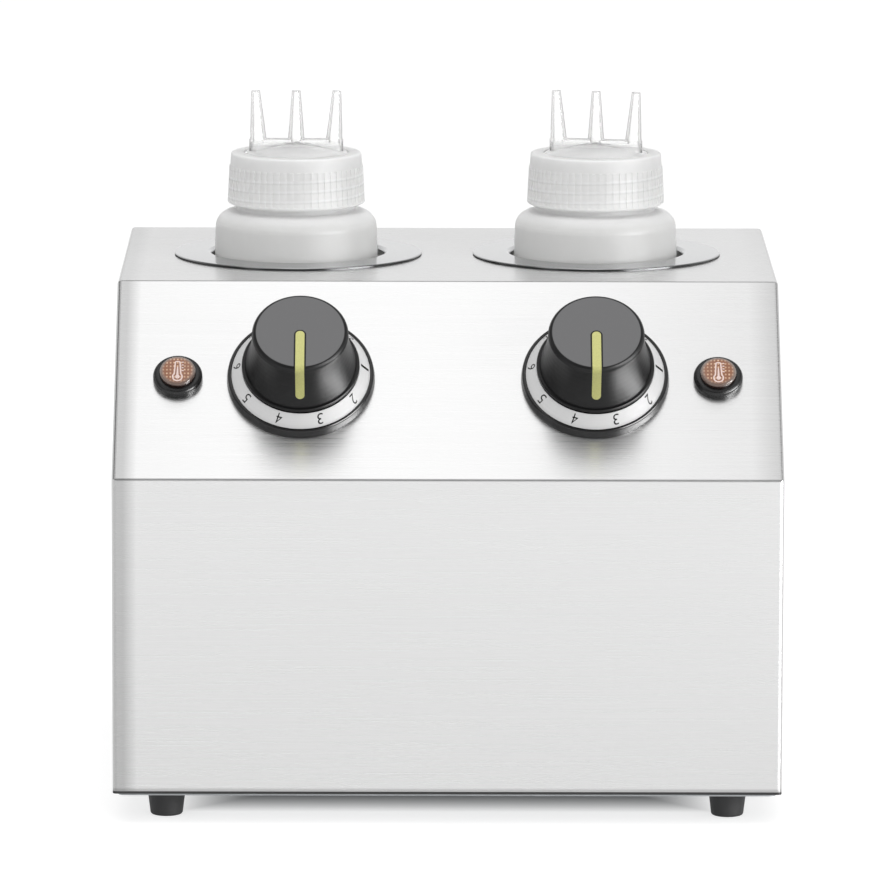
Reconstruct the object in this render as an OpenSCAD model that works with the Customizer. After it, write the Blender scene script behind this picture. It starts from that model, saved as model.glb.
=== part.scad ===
// Countertop topping warmer: a folded stainless housing with a sloping control panel, two heated
// wells that each hold a three-nozzle squeeze bottle, and a thermostat and pilot lamp for each well.
// Millimetres. +X is the right-hand side seen from the front, +Y is the back, +Z is up.

/* [Housing] */
// Width of the housing across the front
body_w = 300; // [290:1:330]
// Depth of the housing from front panel to rear edge
body_d = 258; // [250:1:290]
// Height of the upright front panel
front_h = 143; // [130:1:160]
// Height that the control panel climbs
panel_rise = 77.5; // [72:0.5:88]
// Depth that the control panel runs back
panel_run = 82; // [74:0.5:90]
// Thickness of the stainless sheet
sheet_t = 1; // [0.8:0.1:1.2]
// Outside radius of the bends
bend_r = 2; // [1.6:0.1:3]
// Width of the flanges that the covers screw to
flange_w = 14; // [12:0.5:18]

/* [Base and feet] */
// Thickness of the base plate
plate_t = 1.2; // [1:0.1:2]
// Distance of the base plate's edge in from the housing's
plate_inset = 2.5; // [1.5:0.5:4]
// Height of a rubber foot below the base plate
foot_h = 12.8; // [8:0.2:18]
// Diameter of a foot where it meets the base plate
foot_d = 17.6; // [15:0.2:22]
// Diameter of a foot where it stands
foot_tip_d = 14.7; // [12:0.1:15]
// Distance of a foot's centre in from the sides
foot_in_x = 23.5; // [20:0.5:32]
// Distance of a foot's centre in from the front and the back
foot_in_y = 24; // [23:0.5:32]

/* [Wells] */
// Distance between the two wells' centres
well_pitch = 138.4; // [130:0.2:148]
// Bore of a well
well_bore = 80; // [79:0.2:84]
// Depth of a well below the top
well_depth = 165; // [150:1:175]
// Thickness of a well's drawn wall
well_t = 0.8; // [0.6:0.1:1]
// Outside diameter of a well's rim
rim_d = 114.8; // [110:0.2:118]
// Height of a well's rim above the top
rim_h = 1.5; // [1.4:0.1:2.4]

/* [Squeeze bottles] */
// Largest diameter of a bottle's body
bottle_d = 76.4; // [70:0.2:77]
// Height of a bottle's body to the root of its neck
bottle_h = 186.6; // [176:0.2:200]
// Wall of a bottle
bottle_t = 1.4; // [1:0.1:2]
// Outside diameter of a bottle's neck
neck_d = 54.4; // [52:0.2:55]
// Height of a neck
neck_h = 22.8; // [21.5:0.1:26]
// Largest diameter of a cap collar
collar_d = 63.6; // [62:0.1:66]
// Number of grip ribs around a collar
collar_ribs = 60; // [48:1:100]
// How far left of its well's centre the left bottle was put down
left_bottle_off = 0.95; // [0:0.05:1]
// How far left of its well's centre the right bottle was put down
right_bottle_off = 0.45; // [0:0.05:1]

/* [Nozzles] */
// Distance between neighbouring nozzle tips
nozzle_pitch = 18.8; // [18:0.1:20]
// Height of the nozzle tips above the collar
nozzle_h = 28.4; // [22:0.2:34]
// Diameter of a nozzle tip
tip_d = 4.1; // [3.6:0.1:5]
// Bore of a nozzle tip
tip_bore = 2.4; // [1.8:0.1:2.8]
// Turn of the right bottle's nozzles, as it was put down
right_turn = -11.5; // [-30:0.5:30]

/* [Controls] */
// Distance between the two knobs' centres
knob_pitch = 132.2; // [126:0.2:140]
// Diameter of a knob's grip at the top
knob_d = 43.2; // [40:0.2:46]
// Diameter of a knob's foot flange
knob_foot_d = 52.8; // [50:0.2:53.6]
// Height of a knob's face above the panel
knob_h = 34.9; // [31.5:0.1:38]
// Outside diameter of a dial bezel
bezel_d = 66.5; // [65.1:0.2:70]
// Width of a knob's pointer
pointer_w = 4; // [3:0.1:5]
// Diameter of a thermostat's shaft
shaft_d = 6; // [5:0.1:6.4]
// Distance between the two pilot lamps' centres
lamp_pitch = 242.8; // [238:0.2:250]
// Outside diameter of a pilot lamp's bezel
lamp_d = 22.2; // [20:0.2:24]
// Diameter of a pilot lamp's lens
lens_d = 16.2; // [15:0.1:17]

/* [Rear] */
// Distance of the cord gland's centre in from the side
gland_in_x = 46; // [35:1:60]
// Height of the cord gland above the housing's edge
gland_z = 34; // [26:1:60]
// Bore of the cord gland
gland_bore = 7.2; // [6:0.1:8]
// Length of the cord gland outside the rear cover
gland_out = 9; // [6:0.5:14]
// Number of louvres in each group
louvres = 6; // [3:1:7]

/* [Clearances] */
// Gap between two fixed pieces that meet
seat_gap = 0.1; // [0.05:0.05:0.2]
// Gap around a shaft that turns
run_gap = 0.06; // [0.04:0.01:0.1]

/* [Hidden] */
$fn = 96;

left = -1;
right = 1;

// Heights and depths that the pieces share
plate_z = foot_h;
bottom_z = plate_z + plate_t;
crease_z = bottom_z + front_h;
top_z = crease_z + panel_rise;
front_y = -(body_d + gland_out) / 2;
back_y = front_y + body_d;
slope_y = front_y + panel_run;
lean = atan2(panel_run, panel_rise);
panel_mid = [0, front_y + panel_run / 2, crease_z + panel_rise / 2];
cover_gap = 0.3;
hole_gap = 0.3;
cut = 1;

// Wells
well_r = well_bore / 2;
well_out_r = well_r + well_t;
well_y = (slope_y + back_y) / 2;
floor_z = top_z - well_depth;
stud_r = 2;
stud_pcr = (well_out_r + rim_d / 2) / 2;
stud_len = 9;
nut_af = 7;
nut_h = 3.2;
stud_angles = [30, 150, 270];

// Bottles
body_r = bottle_d / 2;
neck_r = neck_d / 2;
neck_in_r = neck_r - bottle_t - 0.4;
neck_root_z = floor_z + bottle_h;
neck_top_z = neck_root_z + neck_h;
flange_t = 1.3;
collar_top_t = 1.8;
collar_top_z = neck_top_z + flange_t + 2 * seat_gap + collar_top_t;
collar_low_z = neck_root_z + 1.8;
collar_r = collar_d / 2;
collar_mouth_r = neck_r - 2.9;
collar_bore_r = neck_r + 1.1;
flange_r = collar_bore_r - 0.4;
rib_depth = 0.45;
fan_h = 5.9;
fan_w = 8;

// Controls
bezel_r = bezel_d / 2;
bezel_rim_h = 4.4;
scale_out = [bezel_r - 2.35, 3.45];
scale_in = [bezel_r - 7.15, 8.8];
scale_t = 0.5;
knob_foot_h = 10;
knob_r = knob_d / 2;
knob_foot_r = knob_foot_d / 2;
knob_round = 2.4;
knob_wall = 2.2;
pointer_depth = 1.2;
pointer_end_h = 16.4;
pointer_start = 0.2;
pointer_proud = 0.15;
shaft_r = shaft_d / 2;
shaft_hole_r = shaft_r + 2.6;
shaft_in = 14;
shaft_top_h = 27;
flat_len = 16;
flat_depth = 1.4;
control_screw_pitch = 28;
lamp_r = lamp_d / 2;
lens_r = lens_d / 2;
lamp_barrel_r = lens_r - 0.4;

// Screws
screw_r = 1.95;
screw_head_r = 3.9;
screw_head_h = 2.4;
screw_rim_h = 0.9;
screw_hold = 4;
clear_r = screw_r + 0.25;
sink = 0.02;

// Outlines
function unit(v) = v / norm(v);
function arc(c, r, a0, a1, n = 6) =
    [for (i = [0:n]) c + r * [cos(a0 + (a1 - a0) * i / n), sin(a0 + (a1 - a0) * i / n)]];
function near_angle(a, b) = b - a > 180 ? b - 360 : b - a < -180 ? b + 360 : b;
function round_corner(p, q, s, r, n) =
    let (u = unit(p - q), v = unit(s - q), half = acos(u * v) / 2)
    let (c = q + unit(u + v) * r / sin(half))
    let (from = q + u * r / tan(half), to = q + v * r / tan(half))
    let (a0 = atan2(from.y - c.y, from.x - c.x), a1 = atan2(to.y - c.y, to.x - c.x))
    arc(c, r, a0, near_angle(a0, a1), n);
// Each outline entry is [x, y, corner radius]
function outline(pts, n = 5) =
    [for (i = [0:len(pts) - 1])
        let (p = pts[(i + len(pts) - 1) % len(pts)], q = pts[i], s = pts[(i + 1) % len(pts)])
        each q[2] > 0
            ? round_corner([p.x, p.y], [q.x, q.y], [s.x, s.y], q[2], n)
            : [[q.x, q.y]]];
function rect_outline(w, h, r) =
    [[-w / 2, -h / 2, r], [w / 2, -h / 2, r], [w / 2, h / 2, r], [-w / 2, h / 2, r]];

module plate(w, h, t, r) linear_extrude(t) polygon(outline(rect_outline(w, h, r)));
module turned(pts) rotate_extrude() polygon(pts);
module along_x(len) rotate([90, 0, 90]) linear_extrude(len, center = true) children();
module along_y(len) rotate([90, 0, 0]) linear_extrude(len, center = true) children();
// The control panel's frame: local Z stands out of the panel and local Y climbs it
module on_panel(x) translate(panel_mid + [x, 0, 0]) rotate([90 - lean, 0, 0]) children();
module at_well(side) translate([side * well_pitch / 2, well_y, 0]) children();
// A bar with round ends, centred, for cutting a slot
module slot_bar(len, w, t) {
    cube([len - w, w, t], center = true);
    for (s = [-1, 1]) translate([s * (len - w) / 2, 0, 0]) cylinder(d = w, h = t, center = true);
}
// A pan-head screw with its head above z = 0 and len of shank below
module pan_screw(len) {
    turned([[0, 0], [screw_head_r, 0], each arc([screw_head_r - screw_head_h + screw_rim_h, screw_rim_h],
        screw_head_h - screw_rim_h, 0, 90, 4), [0, screw_head_h]]);
    translate([0, 0, -len]) cylinder(r = screw_r, h = len + sink);
}

// Where the fasteners and feet are
foot_spots = [for (x = [-1, 1], y = [front_y + foot_in_y, back_y - foot_in_y])
    [x * (body_w / 2 - foot_in_x), y]];
base_screw_x = body_w / 2 - flange_w / 2 - sheet_t;
base_spots = [for (x = [-1, 1], y = [front_y + body_d / 4, front_y + body_d / 2, back_y - body_d / 4])
    [x * base_screw_x, y]];
cover_spots = [for (x = [-1, 0, 1], z = [bottom_z + flange_w / 2 + screw_head_r - sheet_t,
        top_z - flange_w / 2 - sheet_t])
    [x * base_screw_x, z]];

// The casing's outer form drawn in by i, left open below and behind when i is not zero
function casing_side(i) =
    let (low = i > 0 ? bottom_z - 20 : bottom_z, rear = i > 0 ? back_y + 20 : back_y)
    let (r = max(bend_r - i, 0.3))
    [[front_y + i, low, 0], [front_y + i, crease_z - i * tan(lean / 2), r],
        [slope_y + i * tan(45 - lean / 2), top_z - i, r], [rear, top_z - i, 0], [rear, low, 0]];
module casing_form(i) {
    half = body_w / 2 - i;
    r = max(bend_r - i, 0.3);
    reach = body_d + top_z;
    intersection() {
        along_x(2 * half) polygon(outline(casing_side(i)));
        linear_extrude(2 * reach, center = true) rounded_edge(half, reach, -front_y - i, r, -1);
        along_y(2 * reach) rounded_edge(half, reach, top_z - i, r, 1);
        on_panel(0) along_y(2 * reach) rounded_edge(half, 2 * reach, -i, r, 1);
    }
}
// A strip between -half and half, square at the far end and with two corners of radius r at dir * near
module rounded_edge(half, far, near, r, dir) polygon(outline([
    [-half, -dir * far, 0], [half, -dir * far, 0], [half, dir * near, r], [-half, dir * near, r]]));

module housing_shell() color([0.78, 0.79, 0.80]) difference() {
    union() {
        difference() {
            casing_form(0);
            casing_form(sheet_t);
        }
        bottom_flange();
        rear_flange();
    }
    for (side = [left, right]) {
        at_well(side) {
            translate([0, 0, top_z - 2 * sheet_t])
                cylinder(r = well_out_r + 2 * hole_gap, h = 4 * sheet_t);
            for (a = stud_angles) rotate(a) translate([stud_pcr, 0, top_z - 2 * sheet_t])
                cylinder(r = stud_r + hole_gap, h = 4 * sheet_t);
        }
        on_panel(side * knob_pitch / 2) {
            translate([0, 0, -2 * sheet_t]) cylinder(r = shaft_hole_r, h = 4 * sheet_t);
            for (s = [-1, 1]) translate([s * control_screw_pitch / 2, 0, -2 * sheet_t])
                cylinder(r = clear_r, h = 4 * sheet_t);
        }
        on_panel(side * lamp_pitch / 2) translate([0, 0, -2 * sheet_t])
            cylinder(r = lamp_barrel_r + seat_gap, h = 4 * sheet_t);
    }
    for (p = base_spots) translate([p.x, p.y, bottom_z - cut])
        cylinder(r = clear_r, h = sheet_t + 2 * cut);
    for (p = cover_spots) translate([p.x, back_y - 3 * sheet_t, p.y]) rotate([-90, 0, 0])
        cylinder(r = clear_r, h = 4 * sheet_t);
}
module bottom_flange() {
    inner_w = body_w - 2 * flange_w;
    difference() {
        intersection() {
            casing_form(0);
            translate([0, front_y + body_d / 2, bottom_z + sheet_t / 2])
                cube([body_w + 2, body_d - 4 * sheet_t, sheet_t], center = true);
        }
        translate([0, front_y + body_d / 2, bottom_z])
            cube([inner_w, body_d - 2 * flange_w, 4 * sheet_t], center = true);
    }
    translate([0, front_y + 2 * sheet_t + (flange_w - 2 * sheet_t) / 2, bottom_z + sheet_t / 2])
        cube([inner_w + 2, flange_w - 2 * sheet_t, sheet_t], center = true);
}
// The rear flange lies one sheet in, so that the cover seats flush inside the casing's edge
module rear_flange() difference() {
    intersection() {
        casing_form(0);
        translate([0, back_y - 1.5 * sheet_t, top_z / 2])
            cube([2 * body_w, sheet_t, 2 * top_z], center = true);
    }
    translate([0, back_y - 1.5 * sheet_t, (bottom_z + top_z) / 2])
        cube([body_w - 2 * flange_w, 3 * sheet_t, top_z - bottom_z - 2 * flange_w], center = true);
}

// Rear cover with pressed louvres whose mouths open downwards
louvre_w = 62;
louvre_pitch = 13;
louvre_out = 3.4;
louvre_r = 7;
louvre_x = 62;
louvre_z = top_z - 34;
gland_x = body_w / 2 - gland_in_x;
gland_seat_r = gland_bore / 2 + 4.2;
cover_corner_r = 1.2;
function louvre_rows(k) = louvre_z - k * louvre_pitch;
// Section of a louvre in [out, up], grown by g
function louvre_section(g) = [[-sink, louvre_r + g], each arc([0, 0], louvre_r + g, 88, 2, 8),
    [louvre_r + g, 0], [-sink, 0]];
module louvre_hood(w, g) rotate([0, 0, 180]) rotate([90, 0, -90]) linear_extrude(w, center = true)
    scale([louvre_out / louvre_r, 1]) polygon(louvre_section(g));
module rear_cover() color([0.74, 0.75, 0.76]) {
    w = body_w - 2 * sheet_t - 2 * cover_gap;
    h = top_z - bottom_z - sheet_t - 2 * cover_gap;
    mid_z = bottom_z + cover_gap + h / 2;
    difference() {
        union() {
            translate([0, back_y, mid_z]) rotate([90, 0, 0]) plate(w, h, sheet_t, cover_corner_r);
            for (s = [-1, 1], k = [0:louvres - 1]) translate([s * louvre_x, back_y, louvre_rows(k)])
                louvre_hood(louvre_w, 0);
        }
        for (s = [-1, 1], k = [0:louvres - 1]) translate([s * louvre_x, back_y, louvre_rows(k)]) {
            translate([0, 0, -sheet_t / 2]) louvre_hood(louvre_w - 2 * sheet_t, -sheet_t);
            translate([0, -sheet_t / 2, louvre_r / 2 - sheet_t])
                cube([louvre_w - 2 * sheet_t, 2 * sheet_t, louvre_r - sheet_t], center = true);
        }
        for (p = cover_spots) translate([p.x, back_y - 2 * sheet_t, p.y]) rotate([-90, 0, 0])
            cylinder(r = clear_r, h = 3 * sheet_t);
        translate([gland_x, back_y - 2 * sheet_t, bottom_z + gland_z]) rotate([-90, 0, 0])
            cylinder(r = gland_seat_r + seat_gap, h = 4 * sheet_t);
    }
}

// Base plate with two banks of vent slots
vent_len = 44;
vent_w = 3.6;
vent_pitch = 9;
vent_rows = 7;
plate_corner_r = 3;
module base_plate() color([0.62, 0.63, 0.64]) difference() {
    translate([0, front_y + body_d / 2, plate_z])
        plate(body_w - 2 * plate_inset, body_d - 2 * plate_inset, plate_t, plate_corner_r);
    for (s = [-1, 1], k = [0:vent_rows - 1])
        translate([s * well_pitch / 2, well_y + (k - (vent_rows - 1) / 2) * vent_pitch, plate_z])
            slot_bar(vent_len, vent_w, 4 * plate_t);
    for (p = concat(foot_spots, base_spots)) translate([p.x, p.y, plate_z - cut])
        cylinder(r = clear_r, h = plate_t + 2 * cut);
    for (s = [-1, 1]) translate([s * block_screw_x, block_y, plate_z - cut])
        cylinder(r = block_screw_r + hole_gap, h = plate_t + 2 * cut);
    translate([earth_x, block_y, plate_z - cut])
        cylinder(r = stud_r + hole_gap, h = plate_t + 2 * cut);
}

// Feet, each with a countersunk pocket for its screw
foot_pocket_r = screw_head_r + 0.7;
foot_pocket_h = 5;
foot_edge_r = 1.2;
module rubber_feet() color([0.12, 0.12, 0.13])
    for (p = foot_spots) translate([p.x, p.y, 0]) difference() {
        turned([[0, 0], [foot_tip_d / 2 - foot_edge_r, 0],
            each arc([foot_tip_d / 2 - foot_edge_r, foot_edge_r], foot_edge_r, -80, -5, 4),
            [foot_d / 2, foot_h], [0, foot_h]]);
        translate([0, 0, -cut]) cylinder(r = foot_pocket_r, h = foot_pocket_h + cut);
        translate([0, 0, -cut]) cylinder(r = clear_r, h = foot_h + 2 * cut);
    }
module foot_screws() color([0.75, 0.75, 0.76]) for (p = foot_spots) translate([p.x, p.y, foot_pocket_h])
    mirror([0, 0, 1]) pan_screw(foot_h - foot_pocket_h + plate_t + nut_h + screw_hold / 2);
module hex_nut() difference() {
    cylinder(d = nut_af / cos(30), h = nut_h, $fn = 6);
    translate([0, 0, -cut]) cylinder(r = stud_r + run_gap, h = nut_h + 2 * cut);
}
module foot_nuts() color([0.72, 0.70, 0.60])
    for (p = foot_spots) translate([p.x, p.y, bottom_z]) hex_nut();
module base_screws() color([0.75, 0.75, 0.76]) for (p = base_spots) translate([p.x, p.y, plate_z])
    mirror([0, 0, 1]) pan_screw(plate_t + sheet_t + screw_hold);
module cover_screws() color([0.75, 0.75, 0.76]) for (p = cover_spots)
    translate([p.x, back_y, p.y]) rotate([-90, 0, 0]) pan_screw(2 * sheet_t + screw_hold);

// A drawn well: a rim that overhangs the ring it stands on, a rounded mouth, a straight wall and a
// floor with a rounded corner
mouth_round = 2;
floor_round = 5;
rim_edge_r = 0.7;
rim_dish = 0.25;
rim_over = 1.4;
rim_gap = rim_h / 3;
module well(side) color([0.80, 0.81, 0.82]) at_well(side) {
    rim_r = rim_d / 2;
    rim_top = top_z + rim_h;
    foot_out_r = rim_r - rim_over;
    floor_c = [well_out_r - floor_round, floor_z - well_t + floor_round];
    turned([
        [0, floor_z - well_t],
        each arc(floor_c, floor_round, -88, -2, 6),
        [well_out_r, top_z - mouth_round],
        each arc([well_r + mouth_round, rim_top - mouth_round], mouth_round - well_t, 178, 92, 4),
        [foot_out_r - well_t, rim_top - well_t - rim_dish], [foot_out_r - well_t, top_z],
        [foot_out_r, top_z], [foot_out_r, top_z + rim_gap], [rim_r - rim_dish / 2, top_z + rim_gap],
        each arc([rim_r - rim_edge_r, rim_top - rim_edge_r - rim_dish], rim_edge_r, 5, 85, 4),
        each arc([well_r + mouth_round, rim_top - mouth_round], mouth_round, 92, 178, 6),
        [well_r, floor_z + floor_round],
        each arc(floor_c, floor_round - well_t, -2, -88, 6),
        [0, floor_z]]);
    for (a = stud_angles) rotate(a) translate([stud_pcr, 0, top_z - stud_len])
        cylinder(r = stud_r, h = stud_len + rim_h - well_t);
}
module well_nuts() color([0.72, 0.70, 0.60]) for (side = [left, right]) at_well(side)
    for (a = stud_angles) rotate(a) translate([stud_pcr, 0, top_z - sheet_t - nut_h]) hex_nut();

// Band heater, split at the back, with clamp lugs and two ceramic-insulated terminals
band_low = floor_z + 10;
band_h = 60;
band_r = well_out_r + seat_gap;
band_t = 2.4;
band_split = 9;
band_out_r = band_r + band_t;
lug_out = 10;
lug_h = 20;
lug_t = 1.5;
lug_root = band_t / 2;
lug_hole_y = band_out_r + lug_out - lug_root - 4.8;
post_x = 9;
post_out = 13;
post_r = 2;
post_bead_r = 4;
post_bead_len = 7;
module heater(side) color([0.66, 0.62, 0.52]) at_well(side) translate([0, 0, band_low]) {
    difference() {
        cylinder(r = band_out_r, h = band_h);
        translate([0, 0, -cut]) cylinder(r = band_r, h = band_h + 2 * cut);
        translate([-band_split / 2, 0, -cut]) cube([band_split, band_out_r + cut, band_h + 2 * cut]);
    }
    for (s = [-1, 1]) difference() {
        translate([s * (band_split + lug_t) / 2 - lug_t / 2, band_out_r - lug_root, (band_h - lug_h) / 2])
            cube([lug_t, lug_out, lug_h]);
        translate([0, lug_hole_y, band_h / 2]) rotate([0, 90, 0])
            cylinder(r = clear_r, h = band_split + 4 * lug_t, center = true);
    }
    for (s = [-1, 1]) translate([s * post_x, -band_out_r + lug_root, band_h / 2]) rotate([90, 0, 0]) {
        cylinder(r = post_bead_r, h = post_bead_len);
        cylinder(r = post_r, h = post_out);
    }
}
module heater_screws() color([0.75, 0.75, 0.76]) for (side = [left, right]) at_well(side)
    translate([-band_split / 2 - lug_t, lug_hole_y, band_low + band_h / 2])
        rotate([0, -90, 0]) pan_screw(band_split + 2 * lug_t + screw_hold);

// Thermostat bulb in a spring clip against the well, and its capillary
bulb_r = 3;
bulb_len = 66;
bulb_low = band_low + band_h + 8;
bulb_off = well_out_r + bulb_r + seat_gap;
bulb_end_r = 0.8;
clip_t = 0.6;
clip_h = 24;
clip_w = 20;
module bulb_clip(side) color([0.7, 0.71, 0.72]) at_well(side)
    translate([0, -bulb_off, bulb_low + (bulb_len - clip_h) / 2]) difference() {
        union() {
            cylinder(r = bulb_r + seat_gap + clip_t, h = clip_h);
            translate([-clip_w / 2, bulb_r - clip_t, 0]) cube([clip_w, clip_t, clip_h]);
        }
        translate([0, 0, -cut]) cylinder(r = bulb_r + seat_gap, h = clip_h + 2 * cut);
        translate([-clip_w, bulb_r, -cut]) cube([2 * clip_w, bulb_r, clip_h + 2 * cut]);
    }
// A round tube swept along a smooth line through hand-set points
function blend_point(a, b, c, d, t) = 0.5 * (2 * b + (c - a) * t + (2 * a - 5 * b + 4 * c - d) * t * t
    + (3 * b - a - 3 * c + d) * t * t * t);
function smooth_line(p, steps) = [
    for (i = [0:len(p) - 2], k = [0:steps - 1])
        blend_point(p[max(i - 1, 0)], p[i], p[i + 1], p[min(i + 2, len(p) - 1)], k / steps),
    p[len(p) - 1]];
function heading(l, i) = unit(l[min(i + 1, len(l) - 1)] - l[max(i - 1, 0)]);
function side_of(t, hint) = unit(cross(t, hint));
module tube_along(l, r, sides, hint) {
    n = len(l);
    ring = [for (i = [0:n - 1]) let (t = heading(l, i), u = side_of(t, hint), v = cross(t, u))
        for (k = [0:sides - 1]) l[i] + r * (u * cos(360 * k / sides) + v * sin(360 * k / sides))];
    polyhedron(points = ring, faces = [
        [for (k = [0:sides - 1]) k],
        for (i = [0:n - 2], k = [0:sides - 1]) let (a = i * sides + k, b = i * sides + (k + 1) % sides)
            each [[a + sides, b, a], [a + sides, b + sides, b]],
        [for (k = [sides - 1:-1:0]) (n - 1) * sides + k]]);
}

// Thermostat behind the panel
stat_w = 46;
stat_l = 36;
stat_deep = 24;
stat_plate_t = 1.2;
spade_w = 6.3;
spade_t = 0.8;
spade_len = 8;
stat_corner_r = 3;
stat_diaphragm_r = 9;
stat_diaphragm_h = 2;
stat_bite = 5;
// Terminals of the switch, then the capillary's nipple, in the panel's frame
spade_spots = [[-13, -11], [13, -11], [-13, 2], [13, 2]];
nipple = [0, 12];
nipple_len = 5;
nipple_r = 2;
stat_back = -sheet_t - stat_deep;
module thermostat(side) on_panel(side * knob_pitch / 2) color([0.83, 0.80, 0.72])
    translate([0, 0, -sheet_t]) mirror([0, 0, 1]) difference() {
        union() {
            plate(stat_w, stat_l - 8, stat_plate_t, stat_corner_r);
            translate([0, 0, stat_plate_t])
                plate(stat_w - 6, stat_l, stat_deep - stat_plate_t, stat_corner_r);
            translate([0, 0, stat_deep]) cylinder(r = stat_diaphragm_r, h = stat_diaphragm_h);
            for (p = spade_spots) translate([p.x - spade_w / 2, p.y - spade_t / 2, stat_deep - cut])
                cube([spade_w, spade_t, spade_len + cut]);
            translate([nipple.x, nipple.y, stat_deep - cut]) cylinder(r = nipple_r, h = nipple_len + cut);
        }
        translate([0, 0, -cut]) cylinder(r = shaft_r + run_gap, h = shaft_in + hole_gap + cut);
        for (s = [-1, 1]) translate([s * control_screw_pitch / 2, 0, -cut])
            cylinder(r = screw_r + seat_gap, h = stat_bite + 2 * cut);
    }
module thermostat_screws() color([0.75, 0.75, 0.76]) for (side = [left, right])
    on_panel(side * knob_pitch / 2) for (s = [-1, 1])
        translate([s * control_screw_pitch / 2, 0, bezel_floor_t])
            pan_screw(bezel_floor_t + sheet_t + stat_bite);
module control_shaft(side) on_panel(side * knob_pitch / 2) color([0.72, 0.73, 0.74]) difference() {
    translate([0, 0, -sheet_t - shaft_in]) cylinder(r = shaft_r, h = sheet_t + shaft_in + shaft_top_h);
    translate([-shaft_d, shaft_r - flat_depth, shaft_top_h - flat_len])
        cube([2 * shaft_d, shaft_r, flat_len + cut]);
}
capillary_r = 0.75;
module sensor(side) color([0.75, 0.52, 0.38]) {
    start = on_panel_point(side * knob_pitch / 2 + nipple.x, nipple.y, stat_back - nipple_len - seat_gap);
    end = [side * well_pitch / 2, well_y - bulb_off, bulb_low + bulb_len - cut];
    at_well(side) translate([0, -bulb_off, bulb_low]) turned([[0, 0], [bulb_r - bulb_end_r, 0],
        [bulb_r, bulb_end_r], [bulb_r, bulb_len - bulb_r], [2 * capillary_r, bulb_len], [0, bulb_len]]);
    tube_along(smooth_line(capillary_points(start, end), 5), capillary_r, 6, [1, 0.05, 0]);
}
// A point given in the control panel's frame
function on_panel_point(x, y, z) = panel_mid
    + [x, y * sin(lean) - z * cos(lean), y * cos(lean) + z * sin(lean)];
panel_in = [0, cos(lean), -sin(lean)];
function capillary_points(start, end) = [
    start, start + 6 * panel_in, start + 13 * panel_in + [0, 0, 1], start + [0, 20, -6],
    (start + end) / 2, end + [0, -9, 4], end + [0, -3.5, 10], end + [0, 0, 6], end];

// Dial bezel with the conical scale ring on it
bezel_floor_t = 2;
bezel_wall_t = 1.4;
bezel_edge_r = 1.1;
module dial_bezel(side) on_panel(side * knob_pitch / 2) color([0.13, 0.13, 0.14]) difference() {
    turned([[shaft_hole_r, 0], [bezel_r, 0], [bezel_r, bezel_edge_r],
        each arc([bezel_r - 1.35 * bezel_edge_r, bezel_rim_h - bezel_edge_r], bezel_edge_r, 20, 100, 4),
        scale_out, scale_in, [scale_in.x - bezel_wall_t, scale_in.y],
        [scale_in.x - bezel_wall_t, bezel_floor_t], [shaft_hole_r, bezel_floor_t]]);
    for (s = [-1, 1]) translate([s * control_screw_pitch / 2, 0, -cut])
        cylinder(r = clear_r, h = bezel_floor_t + 2 * cut);
}
// The scale is a dished ring, drawn in a little from the edges of its cone
module dial_scale(side) on_panel(side * knob_pitch / 2) color([0.80, 0.80, 0.81]) {
    run = unit(scale_in - scale_out);
    out = [run.y, -run.x];
    a = scale_out + scale_t / 2 * run + seat_gap / 2 * out;
    b = scale_in + seat_gap / 2 * out;
    turned([a, a + scale_t * out, b + scale_t * out, b]);
}

// Knob: flared grip with a rounded rim, a hub on ribs, and a slot for the pointer strip
knob_flange_w = 1.3;
knob_flange_t = 1.4;
grip_foot_r = knob_foot_r - knob_flange_w;
grip_foot_h = knob_foot_h + knob_flange_t;
// The grip's side is a hollow arc that is upright below the rounded rim and flares to the foot
flare_top_h = knob_h - knob_round;
flare_h = flare_top_h - grip_foot_h;
flare_w = grip_foot_r - knob_r;
flare_arc_r = (flare_h * flare_h + flare_w * flare_w) / (2 * flare_w);
// Points of the flare between heights a and b, drawn in by i
function flare(a, b, i, n) = [for (k = [0:n]) let (z = a + (b - a) * k / n)
    [knob_r + flare_arc_r - sqrt(pow(flare_arc_r + i, 2) - pow(flare_top_h - z, 2)), z]];
// Outer outline of the grip drawn in by i
function grip_outline(i) = [[0, knob_h - i],
    each arc([knob_r - knob_round, flare_top_h], knob_round - i, 90, 4, 6),
    each flare(flare_top_h - knob_round / 2, grip_foot_h, i, 7)];
hub_r = shaft_r + 3.4;
hub_low = 6;
knob_rib_t = 1.6;
knob_rib_low = knob_foot_h + 8;
knob_rib_reach = knob_r - knob_wall / 4;
knob_roof_h = knob_h - knob_wall - knob_round;
module knob(side) on_panel(side * knob_pitch / 2) color([0.16, 0.16, 0.17]) difference() {
    union() {
        turned([each grip_outline(0), [knob_foot_r - knob_flange_t / 4, grip_foot_h],
            [knob_foot_r, grip_foot_h - knob_flange_t / 4], [knob_foot_r, knob_foot_h],
            each flare(knob_foot_h, knob_roof_h, knob_wall, 4), [0, knob_roof_h]]);
        translate([0, 0, hub_low]) cylinder(r = hub_r, h = knob_roof_h + cut - hub_low);
        for (a = [45:90:135]) rotate(a) translate([-knob_rib_reach, -knob_rib_t / 2, knob_rib_low])
            cube([2 * knob_rib_reach, knob_rib_t, knob_roof_h + cut - knob_rib_low]);
    }
    difference() {
        translate([0, 0, hub_low - cut])
            cylinder(r = shaft_r + run_gap, h = shaft_top_h + hole_gap + cut - hub_low);
        translate([-shaft_d, shaft_r - flat_depth + run_gap, shaft_top_h - flat_len + hole_gap])
            cube([2 * shaft_d, shaft_r, flat_len]);
    }
    difference() {
        pointer_band(run_gap);
        turned([each grip_outline(pointer_depth), [0, grip_foot_h]]);
    }
}
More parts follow.
